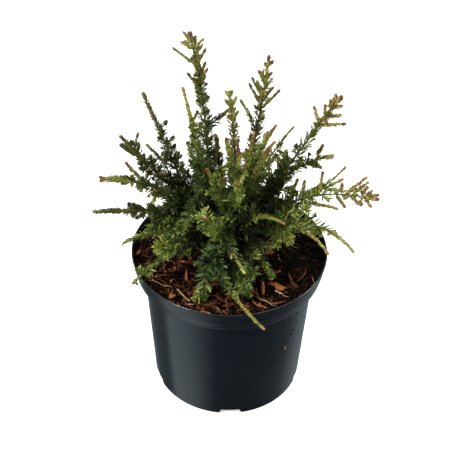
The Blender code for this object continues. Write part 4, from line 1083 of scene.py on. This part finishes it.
def plastic():
    """Matt moulded plastic, nearly black and a little blue, with dust and faint scuffs."""
    made = material("pot_plastic", (0.005, 0.008, 0.011), 0.2, 0.5)
    tree = made.node_tree
    shader = tree.nodes["Principled BSDF"]
    place = new_node(tree, "ShaderNodeTexCoord", (-1500, 0))
    dust = new_node(tree, "ShaderNodeTexNoise", (-1000, 300), Scale=12.0, Detail=2.0, Roughness=0.5)
    tree.links.new(place.outputs["Object"], dust.inputs["Vector"])
    dust_share = ramp(tree, (-780, 300), [(0.38, (0.0, 0.0, 0.0)), (0.75, (1.0, 1.0, 1.0))])
    tree.links.new(dust.outputs["Fac"], dust_share.inputs["Fac"])
    flat = new_node(tree, "ShaderNodeMapping", (-1250, -50))
    flat.inputs["Scale"].default_value = (1.0, 1.0, 9.0)
    tree.links.new(place.outputs["Object"], flat.inputs["Vector"])
    scuff = new_node(tree, "ShaderNodeTexNoise", (-1000, -50), Scale=26.0, Detail=3.0, Roughness=0.55)
    tree.links.new(flat.outputs["Vector"], scuff.inputs["Vector"])
    scuff_share = ramp(tree, (-780, -50), [(0.60, (0.0, 0.0, 0.0)), (0.74, (1.0, 1.0, 1.0))])
    tree.links.new(scuff.outputs["Fac"], scuff_share.inputs["Fac"])
    base = new_node(tree, "ShaderNodeMix", (-520, 300), data_type="RGBA")
    base.inputs[6].default_value = (0.0030, 0.0058, 0.0088, 1.0)
    base.inputs[7].default_value = (0.0055, 0.0085, 0.0115, 1.0)
    tree.links.new(dust_share.outputs["Color"], base.inputs[0])
    worn = new_node(tree, "ShaderNodeMix", (-300, 300), data_type="RGBA")
    worn.inputs[7].default_value = (0.012, 0.016, 0.020, 1.0)
    soften = new_node(tree, "ShaderNodeMath", (-520, 20), operation="MULTIPLY")
    soften.inputs[1].default_value = 0.35
    tree.links.new(scuff_share.outputs["Color"], soften.inputs[0])
    tree.links.new(soften.outputs["Value"], worn.inputs[0])
    tree.links.new(base.outputs[2], worn.inputs[6])
    tree.links.new(worn.outputs[2], shader.inputs["Base Color"])
    rough = new_node(tree, "ShaderNodeMapRange", (-520, -220))
    rough.inputs["To Min"].default_value = 0.17
    rough.inputs["To Max"].default_value = 0.24
    tree.links.new(dust.outputs["Fac"], rough.inputs["Value"])
    tree.links.new(rough.outputs["Result"], shader.inputs["Roughness"])
    return made


pot = lathe("pot_moulded", rounded(pot_profile()), POT_SIDES)
cutters = pot_cutters()
cut = pot.modifiers.new("cut", "BOOLEAN")
cut.operation = "DIFFERENCE"
cut.object = cutters
bpy.context.view_layer.update()
pot_mesh = bpy.data.meshes.new_from_object(pot.evaluated_get(bpy.context.evaluated_depsgraph_get()))
pot.modifiers.clear()
pot.data = pot_mesh
bpy.data.objects.remove(cutters, do_unlink=True)
pot_mesh.materials.clear()
pot_mesh.materials.append(plastic())
pot_mesh.shade_smooth()
pot_mesh.set_sharp_from_angle(angle=math.radians(38))
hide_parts("pot")
pieces["pot"] = pot


# ---------------------------------------------------------------- compost
class Noise:
    """Smooth noise on a seeded lattice, for points in a plane."""

    def __init__(self, seed):
        self.grid = np.random.default_rng(seed).uniform(-1, 1, (64, 64))

    def __call__(self, x, y):
        xi, yi = np.floor(x).astype(int), np.floor(y).astype(int)
        fx, fy = x - xi, y - yi
        fx, fy = fx * fx * (3 - 2 * fx), fy * fy * (3 - 2 * fy)
        g = lambda a, b: self.grid[(xi + a) % 64, (yi + b) % 64]
        return (g(0, 0) * (1 - fx) + g(1, 0) * fx) * (1 - fy) + (g(0, 1) * (1 - fx) + g(1, 1) * fx) * fy


noises = [Noise(s) for s in (11, 12, 13, 14)]


def soil_height(x, y):
    r = np.hypot(x, y)
    z = 1.5 * noises[0](x / 17 + 30, y / 17 + 30) + 1.0 * noises[1](x / 6.5 + 30, y / 6.5 + 30) + 0.6 * noises[2](x / 2.6 + 31, y / 2.6 + 31) + 0.35 * noises[3](x / 1.2 + 31, y / 1.2 + 31)
    return SOIL_LEVEL - 0.6 + z * np.clip((r - 4) / 10, 0.3, 1.0) + 1.1 * np.exp(-((r / 30) ** 2))


def soil_material():
    made = material("compost", (0.03, 0.018, 0.012), 1.0, 0.0)
    tree = made.node_tree
    shader = tree.nodes["Principled BSDF"]
    place = new_node(tree, "ShaderNodeTexCoord", (-1200, 0))
    grain = new_node(tree, "ShaderNodeTexNoise", (-900, 100), Scale=420.0, Detail=8.0, Roughness=0.7)
    tree.links.new(place.outputs["Object"], grain.inputs["Vector"])
    colours = ramp(tree, (-600, 120), [(0.36, (0.0012, 0.0008, 0.0006)), (0.54, (0.0045, 0.0026, 0.0018)), (0.68, (0.018, 0.009, 0.005)), (0.80, (0.06, 0.028, 0.015))])
    tree.links.new(grain.outputs["Fac"], colours.inputs["Fac"])
    tree.links.new(colours.outputs["Color"], shader.inputs["Base Color"])
    bump = new_node(tree, "ShaderNodeBump", (-300, -200), Strength=0.9, Distance=0.0008)
    tree.links.new(grain.outputs["Fac"], bump.inputs["Height"])
    tree.links.new(bump.outputs["Normal"], shader.inputs["Normal"])
    return made


inner_edge = RIM_RADIUS - 2.9
soil_pile = Pile([soil_material()])
radii = np.concatenate([[0.0], np.linspace(1.0, inner_edge, 88)])
around = 260
turns = 2 * math.pi * np.arange(around) / around
xs, ys = radii[1:, None] * np.cos(turns), radii[1:, None] * np.sin(turns)
zs = soil_height(xs, ys)
grid = np.stack([xs, ys, zs], axis=2).reshape(-1, 3)
centre = np.array([[0.0, 0.0, float(soil_height(np.array(0.01), np.array(0.01)))]])
skirt = grid[-around:] * np.array([0.972, 0.972, 1.0]) + np.array([0.0, 0.0, -6.0])
verts = np.vstack([grid, centre, skirt, [[0.0, 0.0, SOIL_LEVEL - 8.0]]])
rows = len(radii) - 1
k, i = np.arange(rows - 1)[:, None] * around, np.arange(around)[None, :]
j = (i + 1) % around
tris = [np.stack([k + i, k + around + i, k + around + j], axis=2).reshape(-1, 3), np.stack([k + i, k + around + j, k + j], axis=2).reshape(-1, 3)]
middle = rows * around
tris.append(np.stack([np.full(around, middle), i[0], j[0]], axis=1))
edge, low = (rows - 1) * around, middle + 1
tris.append(np.stack([edge + i[0], low + i[0], low + j[0]], axis=1))
tris.append(np.stack([edge + i[0], low + j[0], edge + j[0]], axis=1))
tris.append(np.stack([np.full(around, len(verts) - 1), low + j[0], low + i[0]], axis=1))
soil_pile.add(verts, np.vstack(tris), 0)
soil_piece = soil_pile.build("compost_surface")
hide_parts("soil")
pieces["soil"] = soil_piece

CHIP_COLOURS = {
    "peat": (0.0045, 0.0026, 0.0018),
    "dark": (0.014, 0.0075, 0.0050),
    "russet": (0.056, 0.021, 0.010),
    "rust": (0.118, 0.041, 0.016),
    "orange": (0.235, 0.080, 0.024),
    "tan": (0.320, 0.190, 0.100),
    "pale": (0.560, 0.420, 0.290),
}
CHIP_NAMES = list(CHIP_COLOURS)


def chip_material(name, colour):
    """Bark and wood: streaks of lighter and darker fibre."""
    made = material("chip_" + name, colour, 0.9, 0.06)
    tree = made.node_tree
    shader = tree.nodes["Principled BSDF"]
    place = new_node(tree, "ShaderNodeTexCoord", (-1000, 0))
    grain = new_node(tree, "ShaderNodeTexNoise", (-780, 0), Scale=700.0, Detail=5.0, Roughness=0.65)
    tree.links.new(place.outputs["Object"], grain.inputs["Vector"])
    colours = ramp(tree, (-520, 0), [(0.3, tuple(c * 0.45 for c in colour)), (0.5, colour), (0.72, tuple(min(1.0, c * 1.5) for c in colour))])
    tree.links.new(grain.outputs["Fac"], colours.inputs["Fac"])
    tree.links.new(colours.outputs["Color"], shader.inputs["Base Color"])
    return made


chip_materials = [chip_material(n, c) for n, c in CHIP_COLOURS.items()]
chips = Pile(chip_materials)
chip_rng = np.random.default_rng(4242)


def chip_template(rings=4, sides=5):
    k = np.linspace(-0.5, 0.5, rings)
    turn = 2 * math.pi * np.arange(sides) / sides
    verts = [(a, math.cos(t) * 0.5, math.sin(t) * 0.5) for a in k for t in turn] + [(-0.52, 0, 0), (0.52, 0, 0)]
    tris = []
    for r in range(rings - 1):
        for s in range(sides):
            e = (s + 1) % sides
            a, b, c, d = r * sides + s, r * sides + e, (r + 1) * sides + e, (r + 1) * sides + s
            tris += [(a, b, c), (a, c, d)]
    last = (rings - 1) * sides
    for s in range(sides):
        e = (s + 1) % sides
        tris += [(rings * sides, e, s), (rings * sides + 1, last + s, last + e)]
    return np.array(verts), np.array(tris)


CHIP_VERTS, CHIP_TRIS = chip_template()


def scatter_chips(count, length, width, thick, kinds, shares, tilt, lift, rough=0.22):
    """Slivers and crumbs that lie every way on the compost."""
    rng = chip_rng
    radius = np.sqrt(rng.uniform(0, 1, count)) * (inner_edge - 1.5)
    turn = rng.uniform(0, 2 * math.pi, count)
    x, y = radius * np.cos(turn), radius * np.sin(turn)
    size = np.stack([rng.uniform(*length, count), rng.uniform(*width, count), rng.uniform(*thick, count)], axis=1)
    kind = rng.choice([CHIP_NAMES.index(k) for k in kinds], count, p=shares)
    # painted shade: towards the right and the back, where the crown casts its shadow, the chips take darker colours
    in_painted_shade = rng.uniform(0, 1, count) < np.clip(0.15 + (0.85 * x + 0.5 * y + 24) / 58, 0.0, 0.985)
    kind = np.where(in_painted_shade & (kind > 1), rng.choice([0, 1, 2], count, p=(0.78, 0.19, 0.03)), kind)
    yaw, pitch, roll = rng.uniform(0, 2 * math.pi, count), rng.normal(0, tilt, count), rng.normal(0, tilt * 1.4, count)
    place_chips(x, y, size, yaw, pitch, roll, kind, lift, rough)


def place_chips(x, y, size, yaw, pitch, roll, kind, lift, rough=0.22, blunt=0.55):
    rng = chip_rng
    count = len(x)
    verts = np.broadcast_to(CHIP_VERTS, (count, *CHIP_VERTS.shape)).copy()
    taper = 1 - blunt * (np.abs(verts[:, :, 0:1]) * 2) ** 2
    verts[:, :, 1:] *= taper
    verts += rng.normal(0, rough * 0.5, verts.shape) * np.array([0.35, 1.0, 1.0])
    verts *= size[:, None, :]
    verts[:, :, 2] += (rng.normal(0, 0.05, count)[:, None] * size[:, 0:1]) * (verts[:, :, 0] / size[:, 0:1]) ** 2 * 4
    cy, sy, cp, sp, cr, sr = np.cos(yaw), np.sin(yaw), np.cos(pitch), np.sin(pitch), np.cos(roll), np.sin(roll)
    zero, one = np.zeros(count), np.ones(count)
    rz = np.array([[cy, -sy, zero], [sy, cy, zero], [zero, zero, one]]).transpose(2, 0, 1)
    ry = np.array([[cp, zero, sp], [zero, one, zero], [-sp, zero, cp]]).transpose(2, 0, 1)
    rx = np.array([[one, zero, zero], [zero, cr, -sr], [zero, sr, cr]]).transpose(2, 0, 1)
    verts = np.einsum("nij,nkj->nki", rz @ ry @ rx, verts)
    z = soil_height(x, y) + lift * size[:, 2]
    verts += np.stack([x, y, z], axis=1)[:, None, :]
    # nothing goes through the wall of the pot
    reach = np.linalg.norm(verts[:, :, :2], axis=2)
    over = np.clip(inner_edge / np.maximum(reach, 1e-6), None, 1.0)
    verts[:, :, :2] *= over[:, :, None]
    tris = CHIP_TRIS[None] + (np.arange(count) * len(CHIP_VERTS))[:, None, None]
    chips.add(verts.reshape(-1, 3), tris.reshape(-1, 3), np.repeat(kind, len(CHIP_TRIS)))


scatter_chips(1500, (1.5, 4.5), (1.0, 2.6), (0.8, 2.0), ("peat", "dark", "russet"), (0.5, 0.36, 0.14), 0.5, 0.25, 0.3)
scatter_chips(1500, (3.5, 10.0), (0.7, 2.2), (0.5, 1.2), ("peat", "dark", "russet", "rust", "orange"), (0.30, 0.26, 0.20, 0.17, 0.07), 0.32, 0.5)
scatter_chips(230, (6.0, 13.0), (2.0, 4.4), (0.7, 1.5), ("dark", "russet", "rust", "orange", "tan"), (0.34, 0.3, 0.22, 0.11, 0.03), 0.22, 0.7)
scatter_chips(380, (5.0, 14.0), (0.45, 1.0), (0.35, 0.7), ("russet", "rust", "orange", "tan", "pale"), (0.28, 0.34, 0.2, 0.14, 0.04), 0.25, 1.4, 0.15)
# the larger chips that catch the eye: x, y, length, width, thickness, yaw, colour
for x, y, length, width, thick, yaw, kind in (
    (45, -48, 16, 6.5, 2.0, -42, "orange"),
    (47, -54, 9, 1.1, 0.9, -30, "pale"),
    (53, -59, 7, 0.9, 0.8, -12, "tan"),
    (11, -43, 11, 2.6, 1.2, 35, "pale"),
    (4, -17, 10, 5.0, 1.8, 60, "orange"),
    (2, -28, 10, 4.6, 1.6, -25, "orange"),
    (-31, 23, 13, 5.0, 2.0, 72, "rust"),
    (-52, -64, 6, 5.0, 2.6, 10, "orange"),
    (61, -44, 10, 4.0, 1.4, -48, "russet"),
    (58, -34, 13, 2.6, 1.4, -78, "rust"),
    (36, -1, 14, 4.4, 1.8, 28, "rust"),
    (-40, -35, 14, 2.6, 1.6, -88, "orange"),
    (32, -52, 17, 2.8, 1.6, -88, "orange"),
    (25, -48, 17, 1.6, 1.2, -87, "rust"),
    (43, -28, 12, 2.4, 1.2, 17, "rust"),
    (-42, -61, 19, 1.9, 1.2, -51, "tan"),
    (-54, -41, 4, 3.0, 1.4, 60, "tan"),
    (30, -74, 9, 2.6, 1.2, -20, "orange"),
    (17, -72, 7, 2.2, 1.2, 80, "rust"),
    (23, -68, 8, 2.0, 1.2, -60, "orange"),
    (12, -79, 8, 2.0, 1.2, 20, "rust"),
    (-30, -56, 8, 2.2, 1.2, 40, "rust"),
    (-22, -74, 9, 1.8, 1.0, -15, "rust"),
    (-46, -74, 8, 2.4, 1.2, -60, "rust"),
    (-62, -22, 9, 2.4, 1.2, 80, "rust"),
):
    place_chips(np.array([float(x)]), np.array([float(y)]), np.array([[length, width, thick]], float), np.radians([float(yaw)]), np.array([0.05]), np.array([0.2]), np.array([CHIP_NAMES.index(kind)]), 1.6, 0.30, 0.30)


def fibre(x, y, yaw, length, curve, radius, kind, seed, lift=1.3):
    """A curved fibre or rootlet that lies on the compost."""
    rng = np.random.default_rng(seed)
    points, angle = [], math.radians(yaw)
    here = np.array([float(x), float(y)])
    steps = max(5, int(length / 2.2))
    wander = rng.normal(0, 0.16, steps)
    for s in range(steps + 1):
        r = np.hypot(*here)
        if r > inner_edge - 1.0:
            here = here * (inner_edge - 1.0) / r
        points.append((here[0], here[1], float(soil_height(here[0], here[1])) + lift + radius + 0.7 * math.sin(s * 1.3 + seed)))
        if s < steps:
            angle += math.radians(curve) / steps + wander[s]
            here = here + np.array([math.cos(angle), math.sin(angle)]) * length / steps
    line = Limb(points)
    distances = np.linspace(0, line.length, max(6, int(line.length / 1.4)))
    radii = radius * np.interp(distances / line.length, (0, 0.2, 0.8, 1), (0.5, 1.0, 0.9, 0.4)) * rng.uniform(0.85, 1.15, len(distances))
    tube(chips, line, distances, radii, 5, CHIP_NAMES.index(kind))


for seed, (x, y, yaw, length, curve, radius, kind) in enumerate(
    (
        (-73, -39, -46, 24, -8, 0.5, "tan"),
        (-71, -36, 18, 17, -10, 0.38, "orange"),
        (-18, -61, 2, 17, -38, 0.75, "rust"),
        (-3, -66, -80, 17, -8, 0.75, "rust"),
        (25, -61, -39, 22, 6, 0.40, "tan"),
        (26, -63, -35, 21, -6, 0.40, "tan"),
        (64, -38, 42, 20, 16, 0.6, "rust"),
        (79, -32, -65, 9, 0, 0.35, "tan"),
        (-29, -84, -8, 19, 2, 0.8, "orange"),
        (-12, -87, 2, 19, 8, 0.7, "orange"),
        (-20, -85.5, -4, 16, 8, 0.5, "tan"),
        (47, -2, -68, 9, 10, 0.35, "tan"),
        (50, 8, -45, 14, 0, 0.3, "rust"),
        (36, -62, -20, 13, -30, 0.45, "rust"),
        (-57, -30, 25, 16, 10, 0.55, "rust"),
        (-44, -66, -60, 12, 40, 0.45, "rust"),
        (-30, -44, -80, 12, 20, 0.5, "rust"),
    )
):
    fibre(x, y, yaw, length, curve, radius, kind, 700 + seed)
rng = np.random.default_rng(808)
for seed in range(170):
    radius, turn = math.sqrt(rng.uniform(0.02, 1)) * 88, rng.uniform(0, 6.28)
    x, y = radius * math.cos(turn), radius * math.sin(turn)
    # painted shade: towards the right and the back, where the crown casts its shadow, the fibres take darker colours
    in_painted_shade = 0.75 * x + 0.45 * y > rng.uniform(-30, 50)
    fibre(x, y, rng.uniform(0, 360), rng.uniform(6, 17), rng.uniform(-50, 50), rng.uniform(0.18, 0.36), rng.choice(["dark", "dark", "russet"] if in_painted_shade else ["russet", "rust", "rust", "tan"]), 900 + seed, lift=0.6)
chips_piece = chips.build("bark_chips", smooth=False)
pieces["chips"] = chips_piece
print("chips", chips.triangles())

# crumbs of compost that stick to the outside of the pot, and one straw-coloured bit
crumbs = Pile(chip_materials)
rng = np.random.default_rng(99)


def crumb(azimuth, height, size, kind):
    slope = (BODY_TOP_RADIUS - BODY_FOOT_RADIUS) / (POT_HEIGHT - BAND_HEIGHT - 7.4)
    radius = BODY_FOOT_RADIUS + (height - 4.0) * slope if height < POT_HEIGHT - BAND_HEIGHT - 3.4 else float(np.interp(height, (POT_HEIGHT - BAND_HEIGHT, POT_HEIGHT), (BAND_FOOT_RADIUS, RIM_RADIUS)))
    out = heading(azimuth, 0)
    side, up = np.array([-out[1], out[0], 0.0]), np.array([0.0, 0.0, 1.0])
    verts = CHIP_VERTS + rng.normal(0, 0.12, CHIP_VERTS.shape)
    angle = rng.uniform(0, 6.28)
    a, b = side * math.cos(angle) + up * math.sin(angle), up * math.cos(angle) - side * math.sin(angle)
    place = out * (radius + 0.15 * size[2]) + np.array([0.0, 0.0, height])
    crumbs.add(place + verts[:, :1] * a * size[0] + verts[:, 1:2] * b * size[1] + verts[:, 2:3] * out * size[2], CHIP_TRIS, CHIP_NAMES.index(kind))


for azimuth, height, size in (
    (-50, 149, 1.4), (-53, 146, 0.9), (-37, 118, 1.5), (-38, 110, 1.2), (-39, 97, 2.0), (-40, 92, 1.6), (-42, 93, 1.1), (-47, 97, 1.0),
    (-45, 107, 0.9), (-48, 92, 1.3), (-47, 88, 1.0), (-43, 84, 0.8), (-41, 74, 1.2), (-39, 71, 0.8), (-52, 104, 0.7), (-50, 84, 0.9),
    (-36, 88, 1.0), (-35, 101, 0.8), (-110, 96, 0.9), (-94, 52, 0.8), (-45, 66, 0.8), (-38, 124, 0.8), (-56, 88, 0.7), (-86, 12, 1.2),
):
    crumb(azimuth, height, (size * rng.uniform(1.0, 1.5), size * rng.uniform(0.7, 1.0), 0.55), "peat" if rng.random() < 0.8 else "dark")
crumb(-45.5, 77, (4.2, 1.1, 0.7), "tan")
crumb(-46.5, 75.5, (2.4, 0.9, 0.6), "dark")
for _ in range(46):
    crumb(rng.normal(-44, 9), rng.uniform(30, 130), (rng.uniform(0.4, 0.9), rng.uniform(0.3, 0.7), 0.35), "peat")
for _ in range(40):
    crumb(rng.uniform(0, 300), rng.uniform(8, 130), (rng.uniform(0.4, 1.1), rng.uniform(0.3, 0.8), 0.35), "peat")
crumbs_piece = crumbs.build("crumbs_on_pot", smooth=False)
pieces["crumbs"] = crumbs_piece

for piece in pieces.values():
    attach(piece, "root")


# ---------------------------------------------------------------- floor, light and sky
def area_light(name, at, toward, size, power, colour=(1.0, 1.0, 1.0), size_y=None):
    light = bpy.data.lights.new(name, "AREA")
    light.shape = "RECTANGLE"
    light.size = size
    light.size_y = size_y or size
    light.energy = power
    light.color = colour
    obj = bpy.data.objects.new(name, light)
    obj.location = Vector(at)
    obj.rotation_mode = "QUATERNION"
    obj.rotation_quaternion = (Vector(toward) - Vector(at)).to_track_quat("-Z", "Y")
    bpy.context.scene.collection.objects.link(obj)
    return obj


area_light("key", (-1.1, -0.75, 1.3), (0.0, 0.0, 0.2), 0.45, 42.0, (1.0, 0.985, 0.95), 0.6)
area_light("top", (0.1, 0.6, 1.7), (0.0, 0.0, 0.2), 0.9, 16.0, (0.98, 0.99, 1.0))
area_light("right", (1.45, 0.1, 0.85), (0.0, 0.0, 0.25), 0.5, 26.0, (1.0, 0.985, 0.95), 0.8)

floor_mesh = bpy.data.meshes.new("floor")
work = bmesh.new()
bmesh.ops.create_grid(work, x_segments=2, y_segments=2, size=14.0)
work.to_mesh(floor_mesh)
work.free()
floor = bpy.data.objects.new("floor", floor_mesh)
bpy.context.scene.collection.objects.link(floor)
floor_material = material("floor", (0.86, 0.86, 0.86), 0.9, 0.1)
floor_shader = floor_material.node_tree.nodes["Principled BSDF"]
floor_shader.inputs["Emission Color"].default_value = (1.0, 1.0, 1.0, 1.0)
# the floor's far part glows a little more, so that it meets the white of the room without an edge
floor_tree = floor_material.node_tree
floor_place = new_node(floor_tree, "ShaderNodeTexCoord", (-800, 0))
floor_reach = new_node(floor_tree, "ShaderNodeVectorMath", (-600, 0), operation="LENGTH")
floor_tree.links.new(floor_place.outputs["Object"], floor_reach.inputs[0])
floor_glow = new_node(floor_tree, "ShaderNodeMapRange", (-400, 0))
floor_glow.inputs["From Min"].default_value = 0.7
floor_glow.inputs["From Max"].default_value = 2.2
floor_glow.inputs["To Min"].default_value = 0.55
floor_glow.inputs["To Max"].default_value = 1.0
floor_tree.links.new(floor_reach.outputs["Value"], floor_glow.inputs["Value"])
floor_tree.links.new(floor_glow.outputs["Result"], floor_shader.inputs["Emission Strength"])
floor_mesh.materials.append(floor_material)
floor.visible_glossy = False

world = bpy.data.worlds.new("studio")
bpy.context.scene.world = world
world.use_nodes = True
tree = world.node_tree
background = tree.nodes["Background"]
coords = new_node(tree, "ShaderNodeTexCoord", (-1100, 0))
split_axes = new_node(tree, "ShaderNodeSeparateXYZ", (-900, 0))
tree.links.new(coords.outputs["Generated"], split_axes.inputs["Vector"])
high_sky = new_node(tree, "ShaderNodeMapRange", (-700, 0))
high_sky.inputs["From Min"].default_value = -0.6
high_sky.inputs["From Max"].default_value = 0.8
high_sky.inputs["To Min"].default_value = 0.22
high_sky.inputs["To Max"].default_value = 0.60
tree.links.new(split_axes.outputs["Y"], high_sky.inputs["Value"])
# below the horizon only mirror-like rays see the sky: bright to the left, dark in front, greyer at the right
turn = new_node(tree, "ShaderNodeMath", (-700, -260), operation="ARCTAN2")
tree.links.new(split_axes.outputs["Y"], turn.inputs[0])
tree.links.new(split_axes.outputs["X"], turn.inputs[1])
share = new_node(tree, "ShaderNodeMapRange", (-520, -260))
share.inputs["From Min"].default_value = -math.pi
share.inputs["From Max"].default_value = math.pi
tree.links.new(turn.outputs["Value"], share.inputs["Value"])
low_sky = ramp(
    tree,
    (-340, -260),
    [(at, (0.86 * v, 1.0 * v, 1.06 * v)) for at, v in (
        (0.0, 0.66), (0.075, 0.66), (0.13, 0.38), (0.19, 0.05), (0.25, 0.015), (0.33, 0.02), (0.40, 0.038), (0.46, 0.065), (0.53, 0.11), (0.60, 0.32), (0.70, 0.3),
        (0.80, 0.35), (0.86, 0.10), (0.955, 0.08), (0.968, 0.66), (1.0, 0.66))],
)
tree.links.new(share.outputs["Result"], low_sky.inputs["Fac"])
above = new_node(tree, "ShaderNodeMath", (-520, -80), operation="GREATER_THAN")
above.inputs[1].default_value = 0.0
tree.links.new(split_axes.outputs["Z"], above.inputs[0])
either = new_node(tree, "ShaderNodeMix", (-100, -80), data_type="RGBA")
tree.links.new(above.outputs["Value"], either.inputs[0])
tree.links.new(low_sky.outputs["Color"], either.inputs[6])
tree.links.new(high_sky.outputs["Result"], either.inputs[7])
seen = new_node(tree, "ShaderNodeLightPath", (-700, 300))
choose = new_node(tree, "ShaderNodeMix", (80, 100), data_type="RGBA")
choose.inputs[7].default_value = (1.0, 1.0, 1.0, 1.0)
tree.links.new(seen.outputs["Is Camera Ray"], choose.inputs[0])
tree.links.new(either.outputs[2], choose.inputs[6])
tree.links.new(choose.outputs[2], background.inputs["Color"])
background.inputs["Strength"].default_value = 1.0

bpy.context.scene.view_settings.view_transform = "Standard"
bpy.context.scene.view_settings.look = "None"
bpy.context.scene.view_settings.exposure = 0.0
